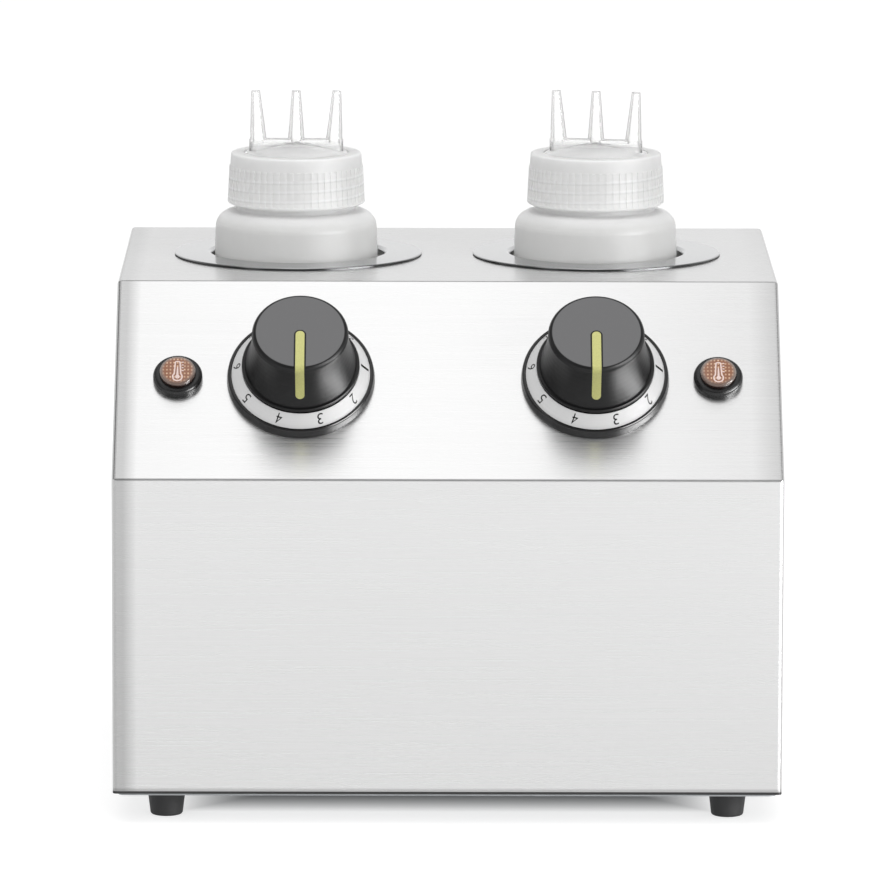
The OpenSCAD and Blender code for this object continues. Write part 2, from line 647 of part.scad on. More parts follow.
// The straight strip over the rim, with round ends, grown by g
module pointer_band(g) intersection() {
    translate([0, 0, pointer_end_h]) linear_extrude(knob_h) {
        translate([-pointer_w / 2 - g, -2 * knob_r])
            square([pointer_w + 2 * g, 2 * knob_r + pointer_start - pointer_w / 2]);
        translate([0, pointer_start - pointer_w / 2]) circle(pointer_w / 2 + g);
    }
    translate([0, knob_r, 0]) rotate([90, 0, 0]) linear_extrude(3 * knob_r) {
        translate([-pointer_w / 2 - g, pointer_end_h + pointer_w / 2])
            square([pointer_w + 2 * g, knob_h]);
        translate([0, pointer_end_h + pointer_w / 2]) circle(pointer_w / 2 + g);
    }
}
module pointer(side) on_panel(side * knob_pitch / 2) color([0.83, 0.83, 0.45]) difference() {
    intersection() {
        pointer_band(0);
        turned([each grip_outline(-pointer_proud), [0, grip_foot_h]]);
    }
    turned([each grip_outline(pointer_depth - seat_gap), [0, grip_foot_h]]);
}

// Pilot lamp: snap-in barrel with a rounded bezel, spade terminals and a lens
lamp_bezel_h = 4.2;
lamp_edge_r = 2.2;
lamp_deep = 22;
lamp_floor_t = 4;
lamp_wall_t = 1.6;
lamp_in_r = lamp_barrel_r - lamp_wall_t;
lamp_spade_x = 3.5;
lamp_tab = [4, 1.6, 4];
lens_top_h = 6.9;
lens_dome = 0.25;
lens_edge_r = 1.2;
lens_seat_h = 1.6;
lens_t = 1.4;
module lamp_body(side) on_panel(side * lamp_pitch / 2) color([0.12, 0.12, 0.13]) {
    turned([[0, -lamp_deep], [lamp_barrel_r - lamp_wall_t / 2, -lamp_deep],
        [lamp_barrel_r, -lamp_deep + lamp_wall_t / 2], [lamp_barrel_r, 0], [lamp_r, 0],
        each arc([lamp_r - lamp_edge_r, lamp_bezel_h - lamp_edge_r], lamp_edge_r, 10, 80, 5),
        [lens_r + seat_gap, lamp_bezel_h], [lens_r + seat_gap, lens_seat_h], [lamp_in_r, lens_seat_h],
        [lamp_in_r, -lamp_deep + lamp_floor_t], [0, -lamp_deep + lamp_floor_t]]);
    for (s = [-1, 1]) translate([s * lamp_spade_x - spade_t / 2, -spade_w / 2, -lamp_deep - spade_len])
        cube([spade_t, spade_w, spade_len + cut]);
    for (s = [-1, 1]) translate([0, s * lamp_barrel_r, -sheet_t - seat_gap - lamp_tab.z / 2])
        cube(lamp_tab, center = true);
}
module lamp_lens(side) on_panel(side * lamp_pitch / 2) color([0.70, 0.33, 0.16]) {
    face_r = lens_r - lens_edge_r;
    dome_r = (face_r * face_r + lens_dome * lens_dome) / (2 * lens_dome);
    turned([[0, lens_top_h - lens_t], [lens_r - lens_t, lens_top_h - lens_dome - lens_t],
        [lens_r - lens_t, lens_seat_h + seat_gap], [lens_r, lens_seat_h + seat_gap],
        each arc([face_r, lens_top_h - lens_dome - lens_edge_r], lens_edge_r, 0, 85, 5),
        each arc([0, lens_top_h - dome_r], dome_r, 90 - asin(face_r / dome_r), 90, 4)]);
}

// A bottle and its cap stand where they were put down in their well
module at_bottle(side)
    translate([-(side == left ? left_bottle_off : right_bottle_off), 0, 0]) at_well(side) children();

// Squeeze bottle: standing ring, barrel body, soft shoulder and straight neck
shoulder_round = 7.5;
shoulder_drop = 1;
foot_round = 5;
push_up = 1.2;
shoulder_r = body_r - 0.8;
function reverse(l) = [for (i = [len(l) - 1:-1:0]) l[i]];
// Outer wall drawn in by i, from the axis at the foot up to the root of the neck
function bottle_outline(i) =
    let (z0 = floor_z + seat_gap, zs = neck_root_z - shoulder_round - shoulder_drop)
    [[0, z0 + push_up + i], [body_r - 14, z0 + push_up + i], [body_r - 12, z0 + i],
        each arc([shoulder_r - foot_round, z0 + foot_round], foot_round - i, -85, -5, 6),
        [body_r - i, z0 + 0.35 * bottle_h], [body_r - i, z0 + 0.8 * bottle_h],
        each arc([shoulder_r - shoulder_round, zs], shoulder_round - i, 4, 78, 7)];
module bottle(side) color([0.93, 0.93, 0.92, 0.8]) at_bottle(side) turned([
    each bottle_outline(0), [neck_r + 0.5, neck_root_z - 0.6], [neck_r, neck_root_z],
    [neck_r, neck_top_z], [neck_in_r, neck_top_z], [neck_in_r, neck_root_z - bottle_t],
    each reverse(bottle_outline(bottle_t))]);

// Nozzle insert: clamped flange, plug, shallow cone, and a hollow fan with three nozzles
plug_r = neck_in_r - hole_gap;
plug_h = 5;
insert_t = 1.3;
cone_r = collar_mouth_r - hole_gap;
web_half = nozzle_pitch + 3;
nozzle_r = fan_w / 2;
nozzle_root = nozzle_pitch - 1.2;
nozzle_lean = atan2(nozzle_pitch - nozzle_root, nozzle_h - fan_h);
insert_low = neck_top_z + seat_gap;
plug_low = insert_low - plug_h;
cone_top_z = collar_top_z + fan_h - 0.7;
// A bar with round ends that stands on z = 0
module stadium(half, r, h) {
    translate([-half + r, -r, 0]) cube([2 * (half - r), 2 * r, h]);
    for (s = [-1, 1]) translate([s * (half - r), 0, 0]) cylinder(r = r, h = h);
}
module nozzle_cones(root_r, tip_r, low, high) for (s = [-1:1])
    translate([s * nozzle_root, 0, collar_top_z + fan_h]) rotate([0, s * nozzle_lean, 0])
        translate([0, 0, low]) cylinder(r1 = root_r, r2 = tip_r, h = high - low);
module nozzle_insert(side) color([0.95, 0.95, 0.95, 0.6]) at_bottle(side)
    rotate(side == right ? right_turn : 0) difference() {
        union() {
            turned([[0, plug_low], [plug_r - 0.5, plug_low], [plug_r, plug_low + 1],
                [plug_r, insert_low], [flange_r, insert_low], [flange_r, insert_low + flange_t],
                [cone_r, insert_low + flange_t], [cone_r, collar_top_z - 0.3],
                [cone_r - 0.4, collar_top_z], [0, cone_top_z]]);
            translate([0, 0, collar_top_z - cut]) stadium(web_half, nozzle_r, fan_h + cut);
            nozzle_cones(nozzle_r - 0.05, tip_d / 2, -cut, nozzle_h - fan_h);
        }
        turned([[0, plug_low - cut], [plug_r - insert_t, plug_low - cut],
            [plug_r - insert_t, insert_low + flange_t / 2],
            [cone_r - insert_t - 0.4, collar_top_z - insert_t], [0, cone_top_z - 1.2 * insert_t]]);
        translate([0, 0, collar_top_z - 2 * insert_t])
            stadium(web_half - insert_t, nozzle_r - insert_t, fan_h + insert_t);
        nozzle_cones(nozzle_r - insert_t, tip_bore / 2, -2 * cut, nozzle_h - fan_h + cut);
    }

// Cap collar: ribbed skirt, plain shoulder band and an open top
collar_taper = 0.8;
collar_lip_h = 1.3;
collar_edge_r = 0.9;
skirt_low_r = collar_r - rib_depth;
skirt_top_r = skirt_low_r - collar_taper;
band_low_r = skirt_top_r + 0.1;
band_top_r = band_low_r - 0.4;
rib_low_z = collar_low_z + collar_lip_h;
rib_top_z = collar_top_z - 6.4;
rib_w = 0.42 * 360 / collar_ribs * collar_r * PI / 180;
module cap_collar(side) color([0.90, 0.90, 0.90, 0.85]) at_bottle(side) difference() {
    union() {
        turned([[0, collar_low_z], [collar_r - 2.6, collar_low_z], [collar_r - 0.5, collar_low_z + 0.9],
            [collar_r - 0.1, rib_low_z], [collar_r - 0.1, rib_low_z + rib_depth],
            [skirt_low_r, rib_low_z + 2 * rib_depth], [skirt_top_r, rib_top_z],
            [band_low_r, rib_top_z + 0.1],
            each arc([band_top_r - collar_edge_r, collar_top_z - collar_edge_r],
                collar_edge_r, 5, 88, 4),
            [0, collar_top_z]]);
        for (k = [0:collar_ribs - 1]) rotate(360 / collar_ribs * (k + 0.5)) grip_rib();
    }
    translate([0, 0, collar_low_z - cut])
        cylinder(r = collar_bore_r, h = collar_top_z - collar_top_t - collar_low_z + cut);
    cylinder(r = collar_mouth_r, h = collar_top_z + cut);
}
// One upright rib, leaning in with the skirt's taper and sunk into it
module grip_rib() {
    low = rib_low_z + rib_depth / 2;
    high = rib_top_z + rib_depth / 2;
    rotate([90, 0, 0]) linear_extrude(rib_w, center = true) polygon([[skirt_low_r - 2 * rib_depth, low],
        [collar_r, low], [collar_r - collar_taper, high], [skirt_top_r - 2 * rib_depth, high]]);
}

// Terminal block on the base plate, its earth stud, and the cord gland in the rear cover
block_w = 74;
block_l = 20;
block_h = 18;
block_y = back_y - 34;
block_foot_l = 12;
block_foot_h = 6;
block_poles = 7;
pole_pitch = 8.4;
pole_w = 7.6;
pole_bore_r = 1.9;
block_screw_x = block_w / 2 - 3.6;
block_screw_r = 1.5;
function pole_x(k) = (k - (block_poles - 1) / 2) * pole_pitch;
module terminal_block() color([0.92, 0.91, 0.86]) translate([0, block_y, bottom_z]) difference() {
    union() {
        plate(block_w, block_foot_l, block_foot_h, 2);
        translate([pole_x(0), -block_foot_l / 3, 0])
            cube([pole_x(block_poles - 1) - pole_x(0), block_foot_l * 2 / 3, 0.7 * block_h]);
        for (k = [0:block_poles - 1]) translate([pole_x(k), 0, 0]) plate(pole_w, block_l, block_h, 1);
    }
    for (k = [0:block_poles - 1]) translate([pole_x(k), 0, block_h / 2]) {
        rotate([90, 0, 0]) cylinder(r = pole_bore_r, h = block_l + 2 * cut, center = true);
        for (s = [-1, 1]) translate([0, s * block_l * 0.3, 0]) cylinder(r = pole_bore_r, h = block_h);
    }
    for (s = [-1, 1]) translate([s * block_screw_x, 0, -cut])
        cylinder(r = block_screw_r + hole_gap, h = block_foot_h + 2 * cut);
}
module terminal_block_screws() color([0.75, 0.75, 0.76]) for (s = [-1, 1])
    translate([s * block_screw_x, block_y, bottom_z + block_foot_h]) {
        cylinder(r = 2 * block_screw_r, h = 1.2 * block_screw_r);
        translate([0, 0, -block_foot_h - plate_t - screw_hold / 2])
            cylinder(r = block_screw_r, h = block_foot_h + plate_t + screw_hold / 2 + sink);
    }
earth_x = 62;
washer_t = 0.8;
washer_r = 4.2;
ring_z = bottom_z + washer_t + nut_h;
module earth_stud() color([0.80, 0.66, 0.36]) translate([earth_x, block_y, 0]) {
    translate([0, 0, plate_z - screw_head_h]) cylinder(r = 0.9 * screw_head_r, h = screw_head_h);
    translate([0, 0, plate_z - sink]) cylinder(r = stud_r, h = plate_t + 3 * nut_h + sink);
    translate([0, 0, bottom_z]) cylinder(r = washer_r, h = washer_t);
    for (z = [bottom_z + washer_t, ring_z + washer_t]) translate([0, 0, z])
        cylinder(d = nut_af / cos(30), h = nut_h, $fn = 6);
}
gland_in = 8;
gland_lip = 1.9;
gland_barb_w = 0.95;
module cord_gland() color([0.10, 0.10, 0.11])
    translate([gland_x, back_y, bottom_z + gland_z]) rotate([-90, 0, 0]) {
        bore = gland_bore / 2;
        seat = gland_seat_r;
        barb = seat + gland_barb_w;
        low = -sheet_t - gland_in;
        turned([[bore, low], [seat - 0.6, low], [barb, low + 0.75 * gland_in],
            [barb, -sheet_t - seat_gap], [seat, -sheet_t - seat_gap], [seat, seat_gap],
            [seat + gland_lip, seat_gap],
            [seat + gland_lip, 2.6], [seat + 0.7 * gland_lip, 3.4], [seat - 0.4, 3.8],
            [seat - 1.2, gland_out - 0.8], [seat - 2, gland_out], [bore, gland_out]]);
    }

// Leads of the left side, mirrored for the right: each route runs from terminal to terminal
lead_r = 1.1;
lead_gap = 3 * seat_gap;
lead_z = bottom_z + block_h / 2;
block_front_y = block_y - block_l / 2 - lead_gap;
function spade_tip(k) = on_panel_point(-knob_pitch / 2 + spade_spots[k].x, spade_spots[k].y,
    stat_back - spade_len - lead_gap);
function lamp_tip(s) = on_panel_point(-lamp_pitch / 2 + s * lamp_spade_x, 0,
    -lamp_deep - spade_len - lead_gap);
function post_tip(s) = [-well_pitch / 2 + s * post_x,
    well_y - band_out_r + lug_root - post_out - lead_gap, band_low + band_h / 2];
function off_panel(p) = [p + 12 * panel_in, p + 5 * panel_in, p];
function off_post(p) = [p, p + [0, -7, 0]];
function to_block(x) = [[x, block_front_y - 10, lead_z], [x, block_front_y, lead_z]];
aisle_y = well_y - well_out_r - 40;
lead_routes = [
    concat(off_post(post_tip(-1)), [post_tip(-1) + [-4, -14, 9],
        [spade_tip(0).x, aisle_y - 12, lead_z + 100]], off_panel(spade_tip(0))),
    concat(off_post(post_tip(1)), [post_tip(1) + [10, -13, -9], [-34, aisle_y + 4, lead_z + 30],
        [-19, aisle_y + 22, lead_z + 6], [-17, well_y, lead_z + 1]], to_block(pole_x(1))),
    concat(reverse(to_block(pole_x(2))), [[-9, well_y, lead_z + 4], [-12, aisle_y + 14, lead_z + 12],
        [-30, aisle_y - 4, lead_z + 50], [-46, aisle_y - 16, lead_z + 96]], off_panel(spade_tip(1))),
    concat(reverse(off_panel(lamp_tip(1))), [[-98, aisle_y - 28, lead_z + 122]],
        off_panel(spade_tip(2))),
    concat(reverse(off_panel(lamp_tip(-1))), [[-118, aisle_y - 8, lead_z + 74],
        [-84, aisle_y + 6, lead_z + 18], [-42, aisle_y + 30, lead_z + 2], [-26, well_y, lead_z]],
        to_block(pole_x(0)))];
module wiring(side) color([0.55, 0.30, 0.18]) mirror([side == right ? 1 : 0, 0, 0])
    for (route = lead_routes) tube_along(smooth_line(route, 4), lead_r, 6, [1, 0.1, 0.13]);
// The earth lead bows out behind the block and ends in a ring clamped between the stud's nuts
earth_bow = 9;
earth_from = [0, block_y + block_l / 2 + lead_gap, lead_z];
earth_to = [earth_x - 2, block_y + washer_r - 0.2, ring_z + washer_t / 2];
earth_route = [earth_from, earth_from + [0, earth_bow / 2, 0],
    [earth_x / 3, earth_from.y + earth_bow, lead_z - 1],
    [0.7 * earth_x, earth_from.y + 0.7 * earth_bow, ring_z + 2],
    [0.87 * earth_x, (earth_from.y + earth_to.y) / 2, earth_to.z], earth_to];
module earth_lead() color([0.55, 0.62, 0.20]) {
    tube_along(smooth_line(earth_route, 4), lead_r, 6, [0.1, 0.13, 1]);
    translate([earth_x, block_y, ring_z]) difference() {
        cylinder(r = washer_r + 0.6, h = washer_t);
        translate([0, 0, -cut]) cylinder(r = stud_r + run_gap, h = washer_t + 2 * cut);
    }
}

housing_shell();
rear_cover();
base_plate();
rubber_feet();
foot_screws();
foot_nuts();
base_screws();
cover_screws();
well(left);  // well_left
well(right);  // well_right
well_nuts();
heater(left);  // heater_left
heater(right);  // heater_right
heater_screws();
bulb_clip(left);  // bulb_clip_left
bulb_clip(right);  // bulb_clip_right
sensor(left);  // sensor_left
sensor(right);  // sensor_right
thermostat(left);  // thermostat_left
thermostat(right);  // thermostat_right
thermostat_screws();
control_shaft(left);  // control_shaft_left
control_shaft(right);  // control_shaft_right
dial_bezel(left);  // dial_bezel_left
dial_bezel(right);  // dial_bezel_right
dial_scale(left);  // dial_scale_left
dial_scale(right);  // dial_scale_right
knob(left);  // knob_left
knob(right);  // knob_right
pointer(left);  // pointer_left
pointer(right);  // pointer_right
lamp_body(left);  // lamp_body_left
lamp_body(right);  // lamp_body_right
lamp_lens(left);  // lamp_lens_left
lamp_lens(right);  // lamp_lens_right
bottle(left);  // bottle_left
bottle(right);  // bottle_right
nozzle_insert(left);  // nozzle_insert_left
nozzle_insert(right);  // nozzle_insert_right
cap_collar(left);  // cap_collar_left
cap_collar(right);  // cap_collar_right
terminal_block();
terminal_block_screws();
earth_stud();
earth_lead();
cord_gland();
wiring(left);  // wiring_left
wiring(right);  // wiring_right
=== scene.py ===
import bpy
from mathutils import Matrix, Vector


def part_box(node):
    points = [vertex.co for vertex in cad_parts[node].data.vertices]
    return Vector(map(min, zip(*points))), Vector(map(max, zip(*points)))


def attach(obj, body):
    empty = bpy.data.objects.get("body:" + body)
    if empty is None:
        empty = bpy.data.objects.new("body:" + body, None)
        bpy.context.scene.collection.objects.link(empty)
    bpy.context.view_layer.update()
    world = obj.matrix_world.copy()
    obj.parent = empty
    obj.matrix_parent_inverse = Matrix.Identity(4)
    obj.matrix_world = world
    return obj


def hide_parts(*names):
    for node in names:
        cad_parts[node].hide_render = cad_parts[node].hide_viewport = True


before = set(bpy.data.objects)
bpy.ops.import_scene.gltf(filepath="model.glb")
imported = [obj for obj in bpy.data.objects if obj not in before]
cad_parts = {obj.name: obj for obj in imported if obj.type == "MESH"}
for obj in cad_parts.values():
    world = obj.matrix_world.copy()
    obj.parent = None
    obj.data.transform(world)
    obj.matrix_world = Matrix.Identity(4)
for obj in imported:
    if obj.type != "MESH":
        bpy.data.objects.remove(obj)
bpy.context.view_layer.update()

import math

import bmesh
import bpy
from mathutils import Matrix, Vector

bl_info = {
    "name": "Topping Warmer",
    "version": (1, 0, 0),
    "blender": (4, 5, 0),
    "location": "3D View > Sidebar > Warmer",
    "description": "Dresses the frame of a two-well topping warmer and sets its studio",
    "category": "Object",
}

MM = 0.001
SIDES = {"left": -1, "right": 1}

# Places that the frame shares with its solids, in metres
PANEL_RUN, PANEL_RISE = 82 * MM, 77.5 * MM
LEAN = math.atan2(PANEL_RUN, PANEL_RISE)
TILT = math.pi / 2 - LEAN
PANEL_MID = Vector((0, -92.5, 195.75)) * MM
PANEL = Matrix.Translation(PANEL_MID) @ Matrix.Rotation(TILT, 4, "X")
KNOB_X, LAMP_X, WELL_X = 66.1 * MM, 121.4 * MM, 69.2 * MM
WELL_Y = 36.5 * MM
BOTTLE_X = {"left": -70.15 * MM, "right": 68.75 * MM}
NECK_ROOT, NECK_R = 256.1 * MM, 27.2 * MM
SCALE_OUT, SCALE_IN = Vector((30.9, 3.45)) * MM, Vector((26.1, 8.8)) * MM
SCALE_FACE = 0.55 * MM
LENS_R, LENS_TOP, LENS_DOME, LENS_EDGE = 8.1 * MM, 6.9 * MM, 0.25 * MM, 1.2 * MM
KNOB_TOP, POINTER_R = 34.9 * MM, 2 * MM
WELL_MOUTH = 234.5 * MM
HEM = 15.2 * MM
CONE_TOP, TIP_TOP = 288 * MM, 310.6 * MM
FOOTPRINT = Vector((150, 133.5)) * MM  # half of the casing's width and depth

# Sizes of a nozzle insert, in millimetres
COLLAR_TOP, NOZZLE_H, FAN_H, FAN_R, FAN_HALF = 282.2, 28.4, 5.9, 4.0, 21.8
NOZZLE_ROOT, TIP_R, TIP_BORE_R = 17.6, 2.05, 1.2
NOZZLE_LEAN = math.atan2(1.2, NOZZLE_H - FAN_H)
NOZZLE_TURN = {"left": 0.0, "right": math.radians(-11.5)}

# Sizes of a cover screw, in millimetres
SCREW_R, SCREW_HEAD_R, SCREW_LEN = 1.95, 3.9, 6.0
SCREW_HEAD_H, SCREW_RIM_H, SCREW_CROSS = 2.4, 0.9, 4.4

# Height that the lamp's sign is drawn at before it is scaled
SIGN_DRAWN = 11.4 * MM


def tone(code):
    """Linear colour of an sRGB hex code."""
    parts = [int(code[i : i + 2], 16) / 255 for i in (1, 3, 5)]
    return (*[c / 12.92 if c <= 0.04045 else ((c + 0.055) / 1.055) ** 2.4 for c in parts], 1.0)


def colour(name, about, code):
    return bpy.props.FloatVectorProperty(
        name=name, description=about, default=tone(code), size=4, min=0, max=1, subtype="COLOR"
    )


def length(name, about, millimetres):
    return bpy.props.FloatProperty(
        name=name, description=about, default=millimetres * MM, min=0, unit="LENGTH"
    )


class WarmerColours(bpy.types.PropertyGroup):
    stainless: colour("Stainless sheet", "Brushed sheet of the casing", "#EAEAEA")
    rim: colour("Wells", "Drawn and spun stainless of the wells", "#AFB0B1")
    plate: colour("Base plate", "Galvanised base plate", "#A9ACAE")
    fastener: colour("Fasteners", "Zinc plating", "#C4C5C2")
    black: colour("Black mouldings", "Knob skirts, bezels and lamp bodies", "#101011")
    # The knob face's paler grey is painted sheen from the light above
    knob_face: colour("Knob face", "Fine-textured face of a knob", "#6C6C6D")
    pointer: colour("Pointer", "Pointer strip of a knob", "#C9C87E")
    dial: colour("Dial ring", "Satin aluminium of a dial ring", "#E0E0E0")
    print_ink: colour("Print", "Screen-printed numbers", "#1A1A1A")
    amber: colour("Lens", "Amber of a pilot lamp's lens", "#8B5636")
    # The lens facets' bright colour is painted glints
    amber_light: colour("Lens facets", "Bright facets inside the lens", "#EDC6A4")
    lens_rim: colour("Lens rim", "Smoky rim of the lens", "#8A7D76")
    # The lens side's dark colour is painted shade from its bezel
    lens_wall: colour("Lens side", "Dark side of the lens, deep in its bezel", "#2E1E1A")
    sign: colour("Lamp sign", "Pale sign on the lens", "#EBD3CC")
    bottle: colour("Bottle", "Milky polyethylene of a bottle", "#E8E8E6")
    insert: colour("Nozzles", "Clear polyethylene of a nozzle insert", "#FEFEFE")
    collar: colour("Collars", "Translucent polyethylene of a cap collar", "#F8F8F7")
    rubber: colour("Feet", "Moulded rubber", "#333334")
    floor: colour("Floor", "Studio floor", "#BDBDBD")


class WarmerSizes(bpy.types.PropertyGroup):
    # Belt-brushed lines are under 0.1 mm apart. They are drawn coarser so that they show.
    grain: length("Grain", "Spacing of the brushed lines", 0.45)
    digit_height: length("Digit height", "Height of a number on the dial ring", 4.9)
    digit_width: length("Digit width", "Width of a number on the dial ring", 2.6)
    thread_pitch: length("Thread pitch", "Rise of the neck's thread in one turn", 4.5)
    thread_ridge: length("Thread ridge", "Height of the neck's thread above the neck", 0.85)
    sign_height: length("Sign height", "Height of the thermometer on a lamp", 11.4)
    digit_first: bpy.props.FloatProperty(
        name="First digit", description="Place of the 0, clockwise from the top",
        default=math.radians(49.6), unit="ROTATION",
    )
    digit_step: bpy.props.FloatProperty(
        name="Digit step", description="Angle between neighbouring numbers",
        default=math.radians(37.4), unit="ROTATION",
    )


class WarmerStudio(bpy.types.PropertyGroup):
    lens: bpy.props.FloatProperty(
        name="Lens", description="Focal length in millimetres", default=321.95, min=1
    )
    place: bpy.props.FloatVectorProperty(
        name="Camera", description="Place of the camera",
        default=(-0.01337, -3.6466, 0.7575), subtype="TRANSLATION", unit="LENGTH",
    )
    pitch: bpy.props.FloatProperty(
        name="Pitch", description="How far the camera looks down",
        default=math.radians(9.468), unit="ROTATION",
    )
    yaw: bpy.props.FloatProperty(
        name="Yaw", description="How far the camera looks to the right",
        default=math.radians(0.2134), unit="ROTATION",
    )
    roll: bpy.props.FloatProperty(
        name="Roll", description="Turn of the camera about its own axis",
        default=math.radians(0.158), unit="ROTATION",
    )
    surroundings: bpy.props.FloatProperty(
        name="Surroundings", description="Level of the light from all around", default=0.88, min=0
    )
    flags: bpy.props.FloatProperty(
        name="Flags", description="Level of the dim parts of the studio that gloss shows",
        default=0.3, min=0,
    )


# Materials


def add(tree, kind, settings=None, sockets=None):
    """Adds a node. Settings are its own options; sockets are values or links by input."""
    made = tree.nodes.new(kind)
    for name, value in (settings or {}).items():
        setattr(made, name, value)
    for name, value in (sockets or {}).items():
        if isinstance(value, bpy.types.NodeSocket):
            tree.links.new(value, made.inputs[name])
        else:
            made.inputs[name].default_value = value
    return made


def surface(name, finish):
    """A material with one Principled shader, then its tree, shader and Object coordinates."""
    made = bpy.data.materials.new(name)
    made.use_nodes = True
    tree = made.node_tree
    tree.nodes.clear()
    shader = add(tree, "ShaderNodeBsdfPrincipled", None, finish)
    add(tree, "ShaderNodeOutputMaterial", None, {"Surface": shader.outputs[0]})
    coords = add(tree, "ShaderNodeTexCoord").outputs["Object"]
    return made, tree, shader, coords


def arithmetic(tree, operation, first, second=0.0, third=0.0):
    return add(
        tree, "ShaderNodeMath", {"operation": operation}, {0: first, 1: second, 2: third}
    ).outputs[0]


def placed(tree, coords, scale=(1, 1, 1), turn=(0, 0, 0), shift=(0, 0, 0)):
    return add(
        tree, "ShaderNodeMapping", None,
        {"Vector": coords, "Location": shift, "Rotation": turn, "Scale": scale},
    ).outputs[0]


def cloud(tree, coords, size, detail=3.0, rough=0.6):
    """Noise whose features are about size metres across, around 0.5."""
    return add(
        tree, "ShaderNodeTexNoise", {"noise_dimensions": "3D"},
        {"Vector": coords, "Scale": 1 / size, "Detail": detail, "Roughness": rough},
    ).outputs[0]


def spread(tree, value, low, high, start=0.3, stop=0.7):
    """value from start..stop onto low..high."""
    return add(
        tree, "ShaderNodeMapRange", {"clamp": True},
        {"Value": value, "From Min": start, "From Max": stop, "To Min": low, "To Max": high},
    ).outputs[0]


def axes(tree, vector):
    """The X, Y and Z outputs of a vector."""
    return add(tree, "ShaderNodeSeparateXYZ", None, {0: vector}).outputs


def point(tree, x, y=0.0):
    return add(tree, "ShaderNodeCombineXYZ", None, {0: x, 1: y}).outputs[0]


def distance(tree, vector):
    return add(
        tree, "ShaderNodeVectorMath", {"operation": "LENGTH"}, {0: vector}
    ).outputs["Value"]


def blended(tree, share, first, second):
    made = add(
        tree, "ShaderNodeMix", {"data_type": "RGBA"},
        {"Factor": share, 6: first, 7: second},
    )
    return made.outputs[2]


def shaded(code_colour, factor):
    return (*[c * factor for c in code_colour[:3]], 1.0)


def relief(tree, shader, height, depth, strength=1.0):
    bump = add(
        tree, "ShaderNodeBump", None, {"Height": height, "Distance": depth, "Strength": strength}
    )
    tree.links.new(bump.outputs[0], shader.inputs["Normal"])


def link(tree, value, shader, name):
    tree.links.new(value, shader.inputs[name])


def brushed_stainless(colours, sizes):
    """Belt-brushed sheet: lines along the width and, on the sides, along the depth."""
    made, tree, shader, coords = surface(
        "stainless_sheet_belt_brushed",
        {"Base Color": colours.stainless, "Metallic": 1.0, "Roughness": 0.3, "Anisotropic": 0.6},
    )
    normal = add(tree, "ShaderNodeNewGeometry").outputs["Normal"]
    faces = axes(tree, normal)
    across = arithmetic(tree, "ABSOLUTE", faces[0])
    on_side = arithmetic(tree, "GREATER_THAN", across, 0.7)
    panel = add(
        tree, "ShaderNodeVectorMath", {"operation": "DOT_PRODUCT"},
        {0: normal, 1: (0, -math.cos(LEAN), math.sin(LEAN))},
    ).outputs["Value"]
    flatness = arithmetic(tree, "MAXIMUM", across, panel)
    for face in faces[1:]:
        flatness = arithmetic(tree, "MAXIMUM", flatness, arithmetic(tree, "ABSOLUTE", face))
    long_line = 0.004
    front = placed(tree, coords, (long_line, 1, 1))
    side = placed(tree, coords, (1, long_line, 1))
    line_space = add(
        tree, "ShaderNodeMix", {"data_type": "VECTOR"}, {"Factor": on_side, 4: front, 5: side}
    ).outputs[1]
    lines = cloud(tree, line_space, sizes.grain, 4.0, 0.75)
    band = cloud(tree, placed(tree, coords, (0.15, 1, 1)), 60 * MM, 1.0, 0.4)
    grain_axis = add(
        tree, "ShaderNodeMix", {"data_type": "VECTOR"},
        {"Factor": on_side, 4: (1, 0, 0), 5: (0, 1, 0)},
    ).outputs[1]
    pull = add(
        tree, "ShaderNodeVectorMath", {"operation": "CROSS_PRODUCT"}, {0: normal, 1: grain_axis}
    ).outputs[0]
    link(tree, pull, shader, "Tangent")
    toned = blended(
        tree, spread(tree, lines, 0, 1), shaded(colours.stainless, 0.9), colours.stainless
    )
    toned = blended(tree, spread(tree, band, 0, 0.2), toned, shaded(colours.stainless, 0.9))
    place = axes(tree, coords)
    # Painted shade: the sheet is drawn darker at its left and right edges and its bends, and a
    # painted shadow runs along its hem
    left_edge, right_edge = (-145 * MM, -139 * MM), (136 * MM, 148 * MM)
    dark, darkest = shaded(colours.stainless, 0.2), shaded(colours.stainless, 0.08)
    flat_share = spread(tree, arithmetic(tree, "MAXIMUM", across, faces[2]), 1, 0.35, 0.75, 0.95)
    left = spread(tree, place[0], 0.42, 0, *left_edge)
    right = spread(tree, place[0], 0, 0.26, *right_edge)
    right = arithmetic(tree, "MULTIPLY", right, spread(tree, faces[2], 0, 1, 0.1, 0.5))
    edge_shade = arithmetic(tree, "MULTIPLY", arithmetic(tree, "ADD", left, right), flat_share)
    edge_shade = arithmetic(tree, "MULTIPLY", edge_shade, spread(tree, across, 1, 0, 0.2, 0.6))
    toned = blended(tree, edge_shade, toned, dark)
    bend_shade = spread(tree, flatness, 0.36, 0, 0.95, 0.995)
    toned = blended(tree, bend_shade, toned, dark)
    hem_shadow = arithmetic(
        tree, "MAXIMUM",
        spread(tree, place[2], 0.35, 0, HEM + 0.6 * MM, HEM + 1.8 * MM),
        spread(tree, place[2], 1, 0, HEM - 0.1 * MM, HEM + 0.1 * MM),
    )
    toned = blended(tree, hem_shadow, toned, darkest)
    link(tree, toned, shader, "Base Color")
    link(tree, spread(tree, lines, 0.24, 0.36), shader, "Roughness")
    relief(tree, shader, lines, 0.004 * MM)
    return made


